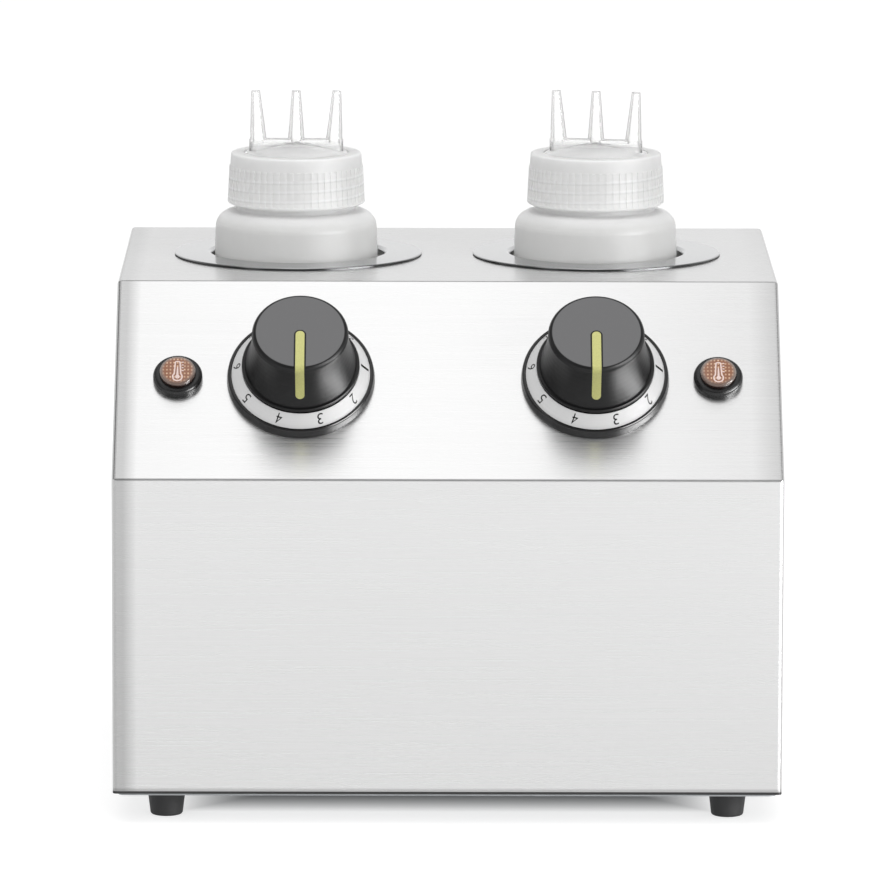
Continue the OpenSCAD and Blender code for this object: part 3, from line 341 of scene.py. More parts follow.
def spun_stainless(side, colours, sizes):
    """Drawn well with a spun rim: fine circles about the well's axis and a near-mirror sheen."""
    centre = (-SIDES[side] * WELL_X, -WELL_Y, 0)
    made, tree, shader, coords = surface(
        "stainless_deep_drawn_" + side,
        {"Base Color": colours.rim, "Metallic": 1.0, "Roughness": 0.18, "Anisotropic": 0.3},
    )
    local = placed(tree, coords, shift=centre)
    parts = axes(tree, local)
    flat = point(tree, parts[0], parts[1])
    radius = distance(tree, flat)
    circles = cloud(tree, point(tree, radius, parts[2]), 0.5 * sizes.grain, 3.0, 0.7)
    outward = add(tree, "ShaderNodeVectorMath", {"operation": "NORMALIZE"}, {0: flat})
    link(tree, outward.outputs[0], shader, "Tangent")
    toned = blended(
        tree, spread(tree, circles, 0, 1), shaded(colours.rim, 0.95), colours.rim
    )
    # Painted light: below the mouth the well is drawn white, so the shaded gap beside the bottle
    # shows paler
    painted_light_inside = spread(tree, parts[2], 1, 0, WELL_MOUTH - 4 * MM, WELL_MOUTH)
    toned = blended(tree, painted_light_inside, toned, (1, 1, 1, 1))
    # Painted shadow: a dark line where the rim's lip meets the top sheet
    low = spread(tree, parts[2], 1, 0, WELL_MOUTH + 0.8 * MM, WELL_MOUTH + 1.1 * MM)
    lip_shadow = arithmetic(tree, "MULTIPLY", low, spread(tree, radius, 0, 0.9, 53 * MM, 54 * MM))
    link(tree, blended(tree, lip_shadow, toned, shaded(colours.rim, 0.1)), shader, "Base Color")
    polish = spread(tree, circles, 0.13, 0.22)
    link(tree, arithmetic(tree, "MULTIPLY_ADD", painted_light_inside, 0.3, polish), shader, "Roughness")
    relief(tree, shader, circles, 0.002 * MM)
    return made


def galvanised(colours):
    """Hot-dip galvanised sheet: dull grey with crystals a few millimetres across."""
    made, tree, shader, coords = surface(
        "steel_sheet_galvanised",
        {"Base Color": colours.plate, "Metallic": 1.0, "Roughness": 0.45},
    )
    crystals = add(
        tree, "ShaderNodeTexVoronoi", {"feature": "F1"}, {"Vector": coords, "Scale": 1 / (6 * MM)}
    )
    share = add(tree, "ShaderNodeSeparateColor", None, {0: crystals.outputs["Color"]}).outputs[0]
    toned = blended(tree, share, shaded(colours.plate, 0.85), colours.plate)
    link(tree, toned, shader, "Base Color")
    link(tree, spread(tree, share, 0.38, 0.55, 0, 1), shader, "Roughness")
    return made


def plated(name, base, roughness, speck):
    """Plated or plain metal with a faint cloudy tarnish."""
    made, tree, shader, coords = surface(
        name, {"Base Color": base, "Metallic": 1.0, "Roughness": roughness}
    )
    haze = cloud(tree, coords, speck)
    toned = blended(tree, spread(tree, haze, 0, 1), shaded(base, 0.84), base)
    link(tree, toned, shader, "Base Color")
    link(tree, spread(tree, haze, roughness * 0.8, roughness * 1.25), shader, "Roughness")
    return made


def moulded(name, base, roughness, grit, depth, more=None):
    """Moulded plastic or rubber: an even colour with the mould's fine spark-eroded grit."""
    made, tree, shader, coords = surface(
        name, {"Base Color": base, "Roughness": roughness, **(more or {})}
    )
    specks = cloud(tree, coords, grit, 2.0, 0.5)
    toned = blended(tree, spread(tree, specks, 0, 1), shaded(base, 0.9), shaded(base, 1.06))
    link(tree, toned, shader, "Base Color")
    link(tree, spread(tree, specks, roughness * 0.88, roughness * 1.12), shader, "Roughness")
    relief(tree, shader, specks, depth)
    return made


def panel_space(tree, coords, x):
    """Coordinates about a spot at x on the panel: Z stands out of it, Y climbs it."""
    turned = Matrix.Rotation(-TILT, 3, "X")
    shift = -(turned @ (PANEL_MID + Vector((x, 0, 0))))
    return placed(tree, coords, turn=(-TILT, 0, 0), shift=tuple(shift))


def knob_plastic(side, colours):
    """ABS knob: dark satin skirt and a finely textured face, drawn paler as painted sheen, with a
    painted shadow round the pointer.
    """
    made, tree, shader, coords = surface(
        "abs_black_satin_" + side,
        {"Base Color": colours.black, "Roughness": 0.36, "Specular IOR Level": 0.3},
    )
    local = panel_space(tree, coords, SIDES[side] * KNOB_X)
    parts = axes(tree, local)
    height = parts[2]
    specks = cloud(tree, coords, 0.3 * MM, 2.0, 0.5)
    skirt = blended(tree, specks, shaded(colours.black, 0.85), shaded(colours.black, 1.1))
    # Painted sheen: the face is a paler grey than the skirt
    face = blended(tree, specks, shaded(colours.knob_face, 0.93), shaded(colours.knob_face, 1.06))
    skirt_end, face_start = KNOB_TOP - 0.12 * MM, KNOB_TOP - 0.04 * MM
    on_face = spread(tree, height, 0, 1, skirt_end, face_start)
    # Painted shadow: a dark ring round the pointer keeps the skirt's dark tone
    up = arithmetic(tree, "MAXIMUM", arithmetic(tree, "ADD", parts[1], POINTER_R - 0.2 * MM), 0.0)
    slot = distance(tree, point(tree, parts[0], up))
    clear = spread(tree, slot, 0, 1, POINTER_R + 0.65 * MM, POINTER_R + 0.8 * MM)
    on_face = arithmetic(tree, "MULTIPLY", on_face, clear)
    link(tree, blended(tree, on_face, skirt, face), shader, "Base Color")
    link(tree, spread(tree, on_face, 0.34, 0.48, 0, 1), shader, "Roughness")
    relief(tree, shader, specks, 0.004 * MM)
    return made


def satin_aluminium(side, colours):
    """Aluminium dial ring, turned and anodised: an even matt grey with faint circles."""
    made, tree, shader, coords = surface(
        "aluminium_anodised_" + side,
        {
            "Base Color": colours.dial, "Metallic": 0.05, "Roughness": 0.55,
            "Specular IOR Level": 0.3,
        },
    )
    local = panel_space(tree, coords, SIDES[side] * KNOB_X)
    lines = cloud(tree, point(tree, axes(tree, local)[2]), 0.3 * MM, 2.0, 0.6)
    toned = blended(tree, spread(tree, lines, 0, 1), shaded(colours.dial, 0.93), colours.dial)
    link(tree, toned, shader, "Base Color")
    link(tree, spread(tree, lines, 0.5, 0.6), shader, "Roughness")
    return made


def lens_plastic(side, colours):
    """Amber polycarbonate lens: dots moulded inside, drawn bright as painted glints, a smoky rim,
    darker low down, and a side in painted shade.
    """
    made, tree, shader, coords = surface(
        "polycarbonate_amber_" + side,
        {
            "Base Color": colours.amber, "Roughness": 0.2, "Coat Weight": 0.5,
            "Coat Roughness": 0.1,
        },
    )
    local = panel_space(tree, coords, SIDES[side] * LAMP_X)
    parts = axes(tree, local)
    dots = 1.0
    for axis, pitch in ((0, 1.6 * MM), (1, 2.0 * MM)):
        turn = arithmetic(tree, "MULTIPLY", parts[axis], 2 * math.pi / pitch)
        wave = arithmetic(tree, "MULTIPLY_ADD", arithmetic(tree, "COSINE", turn), 0.5, 0.5)
        dots = arithmetic(tree, "MULTIPLY", wave, dots)
    radius = distance(tree, point(tree, parts[0], parts[1]))
    rim_start, rim_full = LENS_R - 2.1 * MM, LENS_R - 0.6 * MM
    inside = spread(tree, radius, 1, 0, rim_start, rim_full)
    # Painted shade: the lens's side, deep in its bezel, is drawn dark
    wall = spread(tree, parts[2], 1, 0, LENS_TOP - 1.7 * MM, LENS_TOP - 0.8 * MM)
    uneven = cloud(tree, local, 1.3 * MM, 2.0, 0.6)
    dots = arithmetic(tree, "MULTIPLY", dots, spread(tree, uneven, 0.35, 1))
    # Painted glints: the moulded dots are drawn bright
    toned = blended(tree, spread(tree, dots, 0, 1, 0.15, 0.85), colours.amber, colours.amber_light)
    low = spread(tree, parts[1], 0.65, 0, -LENS_R, 0)
    rim = blended(tree, low, colours.lens_rim, shaded(colours.amber, 0.4))
    toned = blended(tree, inside, rim, toned)
    link(tree, blended(tree, wall, toned, colours.lens_wall), shader, "Base Color")
    relief(tree, shader, arithmetic(tree, "MULTIPLY", dots, inside), 0.2 * MM, 0.4)
    return made


def soft_plastic(name, base, roughness, more):
    """Blown polyethylene: scatters light inside, with a waxy sheen, and a neck drawn paler as
    painted light.
    """
    made, tree, shader, coords = surface(
        name, {"Base Color": base, "Roughness": roughness, "IOR": 1.5, **more}
    )
    flow = cloud(tree, placed(tree, coords, (1, 1, 0.25)), 9 * MM, 2.0, 0.5)
    toned = blended(tree, spread(tree, flow, 0, 1), shaded(base, 0.97), base)
    height = axes(tree, coords)[2]
    # Painted light: from just below its root up, the neck is drawn white where the collar's shade
    # falls
    neck = spread(tree, height, 0, 1, NECK_ROOT - 5 * MM, NECK_ROOT)
    link(tree, blended(tree, neck, toned, (1, 1, 1, 1)), shader, "Base Color")
    link(tree, spread(tree, flow, roughness * 0.9, roughness * 1.1), shader, "Roughness")
    relief(tree, shader, flow, 0.03 * MM)
    return made


def clear_plastic(colours):
    """Clear polyethylene insert: see-through nozzles with edges in painted grey shade on a milky
    cone.
    """
    made, tree, shader, coords = surface(
        "polyethylene_moulded_clear",
        {"Base Color": colours.insert, "Roughness": 0.06, "IOR": 1.2, "Transmission Weight": 0.95},
    )
    height = axes(tree, coords)[2]
    above = spread(tree, height, 0.5, 0.97, CONE_TOP - 5 * MM, CONE_TOP)
    # Painted shade: walls seen edge-on, the fan's top and the tips are tinted grey
    grazing = add(tree, "ShaderNodeLayerWeight", None, {"Blend": 0.5}).outputs["Facing"]
    rim = spread(tree, grazing, 0, 1, 0.15, 0.6)
    normal = add(tree, "ShaderNodeNewGeometry").outputs["Normal"]
    upward = arithmetic(tree, "ABSOLUTE", axes(tree, normal)[2])
    upright = spread(tree, upward, 1, 0, 0.3, 0.8)
    fan_top = spread(tree, height, 0, 1, CONE_TOP - 0.4 * MM, CONE_TOP - 0.2 * MM)
    rim = arithmetic(tree, "MULTIPLY", rim, arithmetic(tree, "MAXIMUM", upright, fan_top))
    tip = spread(tree, height, 0, 0.5, TIP_TOP - 0.6 * MM, TIP_TOP)
    rim = arithmetic(tree, "MAXIMUM", rim, tip)
    toned = blended(tree, rim, colours.insert, shaded(colours.insert, 0.38))
    link(tree, toned, shader, "Base Color")
    link(tree, above, shader, "Transmission Weight")
    flow = cloud(tree, placed(tree, coords, (1, 1, 0.25)), 9 * MM, 2.0, 0.5)
    link(tree, spread(tree, flow, 0.04, 0.1), shader, "Roughness")
    return made


def collar_plastic(side, colours, sizes):
    """Milky polyethylene collar: the neck's thread shows through as pale lines of painted light,
    each with a dark line of painted shade.
    """
    made, tree, shader, coords = surface(
        "polyethylene_moulded_collar_" + side,
        {
            "Base Color": colours.collar, "Roughness": 0.5, "IOR": 1.5, "Transmission Weight": 0.06,
            "Specular IOR Level": 0.35,
            "Subsurface Weight": 0.8, "Subsurface Radius": (1, 1, 1), "Subsurface Scale": 5 * MM,
        },
    )
    local = placed(tree, coords, shift=(-BOTTLE_X[side], -WELL_Y, -NECK_ROOT))
    parts = axes(tree, local)
    turn = arithmetic(tree, "ARCTAN2", parts[1], parts[0])
    climb = arithmetic(tree, "DIVIDE", parts[2], sizes.thread_pitch)
    phase = arithmetic(tree, "MULTIPLY_ADD", turn, -1 / (2 * math.pi), climb)
    away = arithmetic(tree, "PINGPONG", arithmetic(tree, "ADD", phase, 0.27), 0.5)
    # Painted light: a pale line along each turn of the thread behind the collar
    thread_light = spread(tree, away, 1, 0, 0.03, 0.16)
    top = spread(tree, parts[2], 1, 0, 17 * MM, 20 * MM)
    low = spread(tree, parts[2], 0, 1, 2 * MM, 4 * MM)
    shown = arithmetic(tree, "MULTIPLY", top, low)
    thread_light = arithmetic(tree, "MULTIPLY", thread_light, shown)
    haze = cloud(tree, coords, 7 * MM, 2.0, 0.5)
    toned = blended(tree, spread(tree, haze, 0, 1), shaded(colours.collar, 0.96), colours.collar)
    # Painted shade: a dark line beside each pale one
    under = arithmetic(tree, "PINGPONG", arithmetic(tree, "ADD", phase, 0.45), 0.5)
    under = arithmetic(tree, "MULTIPLY", spread(tree, under, 1, 0, 0.02, 0.14), shown)
    toned = blended(tree, under, toned, shaded(colours.collar, 0.9))
    link(tree, blended(tree, thread_light, toned, (1, 1, 1, 1)), shader, "Base Color")
    link(tree, spread(tree, thread_light, 0.5, 0.3, 0, 1), shader, "Roughness")
    relief(tree, shader, thread_light, 0.12 * MM, 0.3)
    return made


def dress(material, *names):
    """Gives CAD nodes a material."""
    for name in names:
        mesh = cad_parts[name].data
        mesh.materials.clear()
        mesh.materials.append(material)


# Pieces


def placed_object(name, data):
    made = bpy.data.objects.new(name, data)
    bpy.context.scene.collection.objects.link(made)
    return made


def mesh_of(bm, name):
    """A mesh with what bm holds; bm is used up."""
    mesh = bpy.data.meshes.new(name)
    bm.to_mesh(mesh)
    bm.free()
    return mesh


def raised(bm, height):
    """Draws the flat faces of bm up into a solid."""
    grown = bmesh.ops.extrude_face_region(bm, geom=bm.faces[:])
    top = [g for g in grown["geom"] if isinstance(g, bmesh.types.BMVert)]
    bmesh.ops.translate(bm, verts=top, vec=(0, 0, height))


def made_piece(bm, name, material, body, crease):
    """Turns a bmesh into a piece that rides on a body, smooth but for creases in degrees."""
    bmesh.ops.recalc_face_normals(bm, faces=bm.faces)
    mesh = mesh_of(bm, name)
    mesh.shade_smooth()
    mesh.set_sharp_from_angle(angle=math.radians(crease))
    mesh.materials.append(material)
    piece = placed_object(name, mesh)
    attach(piece, body)
    return piece


def digit_solid(bm, word, height, width, thick, place):
    """Adds a number to bm as a thin solid; place maps a point of the flat number onto its ring."""
    curve = bpy.data.curves.new("number", "FONT")
    curve.body = word
    curve.extrude = 0.5
    curve.resolution_u = 5
    curve.offset = -0.004  # opens the hole of the 4
    holder = placed_object("number", curve)
    bpy.context.view_layer.update()
    mesh = bpy.data.meshes.new_from_object(holder)
    part = bmesh.new()
    part.from_mesh(mesh)
    bmesh.ops.remove_doubles(part, verts=part.verts, dist=1e-5)
    low = [min(v.co[i] for v in part.verts) for i in range(3)]
    high = [max(v.co[i] for v in part.verts) for i in range(3)]
    slim = width if word != "1" else 0.5 * width
    slant = 0.12 * height
    for v in part.verts:
        x, y, z = ((v.co[i] - low[i]) / (high[i] - low[i]) for i in range(3))
        v.co = place((x - 0.5) * slim + (y - 0.5) * slant, (y - 0.5) * height, z * thick)
    part.to_mesh(mesh)
    part.free()
    bm.from_mesh(mesh)
    bpy.data.objects.remove(holder)
    bpy.data.curves.remove(curve)
    bpy.data.meshes.remove(mesh)


def dial_numbers(side, colours, sizes, ink):
    """The printed numbers 0 to 7 on a dial ring, their tops outwards."""
    bm = bmesh.new()
    run = (SCALE_OUT - SCALE_IN).normalized()
    out = Vector((-run.y, run.x))
    middle = (SCALE_OUT + SCALE_IN) / 2 - 0.2 * MM * run
    spot = PANEL @ Matrix.Translation((SIDES[side] * KNOB_X, 0, 0))
    for number in range(8):
        angle = sizes.digit_first + number * sizes.digit_step

        def place(x, y, z, angle=angle):
            point = middle + y * run + (SCALE_FACE + 0.005 * MM + z) * out
            turn = angle + x / point.x
            return spot @ Vector((point.x * math.sin(turn), point.x * math.cos(turn), point.y))

        digit_solid(
            bm, str(number), sizes.digit_height, sizes.digit_width, 0.03 * MM, place
        )
    return made_piece(bm, "dial_numbers_" + side, ink, "root", 20.0)


def lens_height(x, y):
    """Height of the lens's shallow dome over the panel at a spot about its axis."""
    face = LENS_R - LENS_EDGE
    dome = (face**2 + LENS_DOME**2) / (2 * LENS_DOME)
    return LENS_TOP - dome + math.sqrt(dome**2 - x**2 - y**2)


def keyhole(bulb, stem, tall, segments=40):
    """A flat bmesh outline of a bulb with a stem of half-width stem that reaches up to tall."""
    bm = bmesh.new()
    bmesh.ops.create_circle(bm, cap_ends=True, segments=segments, radius=bulb)
    for v in bm.verts:
        if v.co.y > 0 and abs(v.co.x) < stem * 1.25:
            v.co.x = max(-stem, min(stem, v.co.x * 0.98))
            v.co.y += tall - bulb - (bulb - math.sqrt(bulb**2 - v.co.x**2)) * 0.4
    return bm


def lamp_sign(side, colours, sizes, ink):
    """A plain thermometer in relief on a lamp's lens: outline, column, bulb and marks."""
    total = bmesh.new()
    scale = sizes.sign_height / SIGN_DRAWN
    bulb, stem, tall = 2.45 * MM * scale, 1.35 * MM * scale, 8.95 * MM * scale

    def take(part, thick):
        raised(part, thick)
        mesh = mesh_of(part, "sign")
        total.from_mesh(mesh)
        bpy.data.meshes.remove(mesh)

    outline = keyhole(bulb, stem, tall)
    rim = bmesh.ops.inset_region(
        outline, faces=outline.faces[:], thickness=0.62 * MM * scale,
        use_even_offset=True, use_boundary=True,
    )
    middle = [f for f in outline.faces if f not in set(rim["faces"])]
    bmesh.ops.delete(outline, geom=middle, context="FACES")
    take(outline, 0.16 * MM)
    take(keyhole(bulb * 0.42, stem * 0.2, tall * 0.62, 24), 0.12 * MM)
    for mark in range(4):
        bar = bmesh.new()
        bmesh.ops.create_grid(bar, x_segments=2, y_segments=1, size=0.5 * MM)
        bmesh.ops.scale(bar, verts=bar.verts, vec=(0.95 * scale, 0.5 * scale, 1))
        bmesh.ops.translate(
            bar, verts=bar.verts, vec=(2.25 * MM * scale, (3.4 + 1.6 * mark) * MM * scale, 0)
        )
        take(bar, 0.14 * MM)
    spot = PANEL @ Matrix.Translation((SIDES[side] * LAMP_X, 0, 0))
    for v in total.verts:
        x, y = v.co.x, v.co.y - 4.0 * MM * scale
        v.co = spot @ Vector((x, y, lens_height(x, y) + v.co.z - 0.02 * MM))
    return made_piece(total, "lamp_sign_" + side, ink, "root", 30.0)


def solid(name, build):
    """An object with the closed mesh that build makes in a bmesh."""
    bm = bmesh.new()
    build(bm)
    bmesh.ops.remove_doubles(bm, verts=bm.verts, dist=1e-4)
    bmesh.ops.recalc_face_normals(bm, faces=bm.faces)
    return placed_object(name, mesh_of(bm, name))


def turned(profile, segments=96):
    """A solid of revolution about Z from (radius, height) points in millimetres."""

    def build(bm):
        points = [bm.verts.new((r, 0, z)) for r, z in profile]
        edges = [bm.edges.new(pair) for pair in zip(points, points[1:])]
        bmesh.ops.spin(
            bm, geom=points + edges, cent=(0, 0, 0), axis=(0, 0, 1), angle=2 * math.pi,
            steps=segments, use_merge=True,
        )

    return solid("turned", build)


def round_bar(half, radius, low, high):
    """A bar with round ends along X, from low to high, in millimetres."""

    def build(bm):
        turn = Matrix.Rotation(math.pi / 64, 4, "Z")
        bmesh.ops.create_circle(bm, cap_ends=True, segments=64, radius=radius, matrix=turn)
        for v in bm.verts:
            v.co.x += math.copysign(half - radius, v.co.x)
            v.co.z = low
        raised(bm, high - low)

    return solid("bar", build)


def nozzle_cone(place, root, tip, low, high):
    """A nozzle's cone, leaning outwards by its place on the fan: -1, 0 or 1."""
    foot = (place * NOZZLE_ROOT, 0, COLLAR_TOP + FAN_H)
    lean = Matrix.Translation(foot) @ Matrix.Rotation(place * NOZZLE_LEAN, 4, "Y")
    middle = Matrix.Translation((0, 0, (low + high) / 2))

    def build(bm):
        bmesh.ops.create_cone(
            bm, cap_ends=True, segments=64, radius1=root, radius2=tip, depth=high - low,
            matrix=lean @ middle,
        )

    return solid("cone", build)


def combined(base, operation, *tools):
    """base with each tool joined to it or cut from it; the tools are used up."""
    for tool in tools:
        step = base.modifiers.new("step", "BOOLEAN")
        step.operation, step.solver, step.object = operation, "EXACT", tool
        graph = bpy.context.evaluated_depsgraph_get()
        mesh = bpy.data.meshes.new_from_object(base.evaluated_get(graph))
        base.modifiers.clear()
        base.data = mesh
        bpy.data.objects.remove(tool)
    return base


def nozzle_insert(side, plastic):
    """A finer nozzle insert: flange, plug, shallow cone and a hollow fan with its nozzles."""
    wall, top, rise = 1.3, COLLAR_TOP, NOZZLE_H - FAN_H
    peak, low = top + FAN_H - 0.7, 279.0
    plug, flange, cone = 25.1, 27.9, 23.6
    body = turned([
        (0, low - 5), (24.6, low - 5), (plug, low - 4), (plug, low), (flange, low),
        (flange, low + wall), (24, low + wall), (24, top - 0.3), (cone, top), (0, peak),
    ])
    combined(
        body, "UNION", round_bar(FAN_HALF, FAN_R, top - 1, top + FAN_H),
        *[nozzle_cone(i, FAN_R - 0.05, TIP_R, -1, rise) for i in (-1, 0, 1)],
    )
    combined(
        body, "DIFFERENCE",
        turned([
            (0, low - 6), (plug - wall, low - 6), (plug - wall, low + wall / 2),
            (cone - wall, top - wall), (0, peak - 1.2 * wall),
        ]),
        round_bar(FAN_HALF - wall, FAN_R - wall, top - 2 * wall, top + FAN_H - wall),
        *[nozzle_cone(i, FAN_R - wall, TIP_BORE_R, -2, rise + 1) for i in (-1, 0, 1)],
    )
    bm = bmesh.new()
    bm.from_mesh(body.data)
    bpy.data.objects.remove(body)
    spot = Matrix.Translation((BOTTLE_X[side], WELL_Y, 0)) @ Matrix.Scale(MM, 4)
    turn = Matrix.Rotation(NOZZLE_TURN[side], 4, "Z")
    bmesh.ops.transform(bm, verts=bm.verts, matrix=spot @ turn)
    made = made_piece(
        bm, "nozzles_" + side, plastic, side + "_insert", 30.0
    )
    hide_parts("nozzle_insert_" + side)


def recess_bar():
    """One arm of a cross recess in a screw's head, narrower towards its bottom, in millimetres."""

    def build(bm):
        bmesh.ops.create_cube(bm, size=1)
        floor = [v for v in bm.verts if v.co.z < 0]
        bmesh.ops.scale(bm, verts=bm.verts, vec=(SCREW_CROSS, 1.15, 3.4))
        bmesh.ops.scale(bm, verts=floor, vec=(0.4, 0.6, 1))
        bmesh.ops.translate(bm, verts=bm.verts, vec=(0, 0, SCREW_HEAD_H))

    return solid("recess", build)


def cover_screws(plated_steel):
    """The rear cover's pan-head screws, each with a cross recess."""
    rim = SCREW_HEAD_R - SCREW_HEAD_H + SCREW_RIM_H
    round_r = SCREW_HEAD_H - SCREW_RIM_H
    arc = [math.radians(a) for a in range(0, 91, 10)]
    screw = turned(
        [(0, -SCREW_LEN), (SCREW_R, -SCREW_LEN), (SCREW_R, 0), (SCREW_HEAD_R, 0)]
        + [(rim + round_r * math.cos(a), SCREW_RIM_H + round_r * math.sin(a)) for a in arc]
        + [(0, SCREW_HEAD_H)], 64,
    )
    crossing = recess_bar()
    crossing.data.transform(Matrix.Rotation(math.pi / 2, 4, "Z"))
    combined(screw, "DIFFERENCE", recess_bar(), crossing)
    low, high = (Vector(corner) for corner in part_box("cover_screws"))
    inset = SCREW_HEAD_R * MM
    lying = Matrix.Rotation(-math.pi / 2, 4, "X")
    bm = bmesh.new()
    for x in (low.x + inset, 0, high.x - inset):
        for z in (low.z + inset, high.z - inset):
            one = screw.data.copy()
            spot = Matrix.Translation((x, high.y - SCREW_HEAD_H * MM, z))
            # Each screw stops at a turn of its own
            turn = Matrix.Rotation(7 * x / MM + z / MM, 4, "Z")
            one.transform(spot @ lying @ turn @ Matrix.Scale(MM, 4))
            bm.from_mesh(one)
            bpy.data.meshes.remove(one)
    bpy.data.objects.remove(screw)
    made = made_piece(bm, "cover_screws_recessed", plated_steel, "root", 30.0)
    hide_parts("cover_screws")


def neck_thread(side, colours, sizes, plastic):
    """The moulded screw thread on a bottle's neck, inside its collar."""
    bm = bmesh.new()
    pitch, ridge, sunk = sizes.thread_pitch, sizes.thread_ridge, 0.25 * MM
    steps_per_turn, turns = 60, 3.1
    steps = round(steps_per_turn * turns)
    start = NECK_ROOT + 4.6 * MM
    side_out = ridge * 0.85
    profile = [(-sunk, -1.15), (side_out, -0.55), (ridge, 0), (side_out, 0.35), (-sunk, 0.75)]
    points = [bm.verts.new((NECK_R + r, 0, start + z * MM)) for r, z in profile]
    edges = [bm.edges.new((points[i], points[i + 1])) for i in range(len(points) - 1)]
    edges.append(bm.edges.new((points[-1], points[0])))
    bmesh.ops.contextual_create(bm, geom=edges)
    first = bm.faces[:]
    bmesh.ops.spin(
        bm, geom=first, cent=(0, 0, 0), axis=(0, 0, 1), dvec=(0, 0, pitch / steps_per_turn),
        angle=2 * math.pi * steps / steps_per_turn, steps=steps, use_duplicate=False,
    )
    # The ridge runs out into the neck at both ends
    low = NECK_R - sunk
    fade, total = math.radians(28), 2 * math.pi * steps / steps_per_turn
    for v in bm.verts:
        angle = math.atan2(v.co.y, v.co.x)
        along = (v.co.z - start) / pitch * 2 * math.pi
        angle += 2 * math.pi * round((along - angle) / (2 * math.pi))
        share = max(0.0, min(1.0, angle / fade, (total - angle) / fade))
        radius = math.hypot(v.co.x, v.co.y)
        if radius > low + 1e-6:
            new = low + (radius - low) * (0.15 + 0.85 * share)
            v.co.x, v.co.y = v.co.x * new / radius, v.co.y * new / radius
    bmesh.ops.translate(bm, verts=bm.verts, vec=(BOTTLE_X[side], WELL_Y, 0))
    return made_piece(bm, "neck_thread_" + side, plastic, side + "_bottle", 60.0)


class WARMER_OT_casing(bpy.types.Operator):
    """Finish the casing, its rear cover, its base plate and feet"""

    bl_idname = "warmer.casing"
    bl_label = "Casing"

    def execute(self, context):
        colours, sizes = context.scene.warmer_colours, context.scene.warmer_sizes
        steel = brushed_stainless(colours, sizes)
        dress(steel, "housing_shell", "rear_cover")
        dress(galvanised(colours), "base_plate")
        # Zinc plating gives a cool pale glint under a faint haze
        zinc = plated("steel_zinc_plated", colours.fastener, 0.32, 1.5 * MM)
        dress(
            zinc, "foot_screws", "foot_nuts", "base_screws", "cover_screws", "well_nuts",
            "heater_screws", "thermostat_screws", "terminal_block_screws",
        )
        cover_screws(zinc)
        # Moulded rubber gives a dull near-black
        rubber = moulded("rubber_moulded", colours.rubber, 0.6, 0.5 * MM, 0.02 * MM)
        dress(rubber, "rubber_feet")
        return {"FINISHED"}


class WARMER_OT_wells(bpy.types.Operator):
    """Finish the wells, their heaters, sensors and clips"""

    bl_idname = "warmer.wells"
    bl_label = "Wells"

    def execute(self, context):
        colours, sizes = context.scene.warmer_colours, context.scene.warmer_sizes
        for side in SIDES:
            dress(spun_stainless(side, colours, sizes), "well_" + side)
        # Heat tints the bands straw-coloured; the copper tube is warm, the clips are bright
        band = plated("steel_heater_band_heat_tinted", tone("#B3A78C"), 0.4, 12 * MM)
        copper = plated("copper_drawn_tube", tone("#C58A63"), 0.3, 2 * MM)
        spring = plated("spring_steel_rolled", tone("#B4B6B8"), 0.3, 3 * MM)
        for side in SIDES:
            dress(band, "heater_" + side)
            dress(copper, "sensor_" + side)
            dress(spring, "bulb_clip_" + side)
        return {"FINISHED"}


class WARMER_OT_controls(bpy.types.Operator):
    """Finish the thermostats, knobs and dials, and print the dial numbers"""

    bl_idname = "warmer.controls"
    bl_label = "Controls"

    def execute(self, context):
        colours, sizes = context.scene.warmer_colours, context.scene.warmer_sizes
        # Gloss ABS gives the bezels clear reflections, satin ABS the pointers an even tone.
        # Phenolic gives the thermostats a dull cream, and turning gives the shafts a glint.
        gloss = moulded("abs_black_gloss", colours.black, 0.2, 0.8 * MM, 0.004 * MM)
        strip = moulded("abs_yellow_satin", colours.pointer, 0.4, 0.5 * MM, 0.004 * MM)
        stat = moulded("phenolic_cream", tone("#D8CFB8"), 0.5, 0.6 * MM, 0.02 * MM)
        shaft = plated("steel_turned_shaft", tone("#C2C3C4"), 0.28, 2 * MM)
        # Screen-printed ink is flat black with hardly any shine
        ink = moulded(
            "ink_screen_printed", colours.print_ink, 0.6, 0.3 * MM, 0.001 * MM,
            {"Specular IOR Level": 0.1},
        )
        for side in SIDES:
            dress(gloss, "dial_bezel_" + side)
            dress(satin_aluminium(side, colours), "dial_scale_" + side)
            dress(knob_plastic(side, colours), "knob_" + side)
            dress(strip, "pointer_" + side)
            dress(stat, "thermostat_" + side)
            dress(shaft, "control_shaft_" + side)
            dial_numbers(side, colours, sizes, ink)
        return {"FINISHED"}


class WARMER_OT_lamps(bpy.types.Operator):
    """Finish the pilot lamps and put the sign on each lens"""

    bl_idname = "warmer.lamps"
    bl_label = "Pilot lamps"

    def execute(self, context):
        colours, sizes = context.scene.warmer_colours, context.scene.warmer_sizes
        # Moulded nylon gives a soft black shine, pad-printed ink a pale flat sign
        body = moulded("nylon_black", colours.black, 0.28, 0.5 * MM, 0.006 * MM)
        ink = moulded("ink_pale_pad_printed", colours.sign, 0.35, 0.4 * MM, 0.002 * MM)
        for side in SIDES:
            dress(body, "lamp_body_" + side)
            dress(lens_plastic(side, colours), "lamp_lens_" + side)
            lamp_sign(side, colours, sizes, ink)
        return {"FINISHED"}


class WARMER_OT_bottles(bpy.types.Operator):
    """Finish the bottles, collars and nozzles, and cut the thread on each neck"""

    bl_idname = "warmer.bottles"
    bl_label = "Bottles"

    def execute(self, context):
        colours, sizes = context.scene.warmer_colours, context.scene.warmer_sizes
        inside = {
            "Subsurface Weight": 1.0, "Subsurface Radius": (1, 1, 1), "Subsurface Scale": 5 * MM,
            "Specular IOR Level": 0.3,
        }
        milky = soft_plastic("polyethylene_blown_milky", colours.bottle, 0.42, inside)
        clear = clear_plastic(colours)
        for side in SIDES:
            dress(milky, "bottle_" + side)
            dress(collar_plastic(side, colours, sizes), "cap_collar_" + side)
            nozzle_insert(side, clear)
            neck_thread(side, colours, sizes, milky)
        return {"FINISHED"}


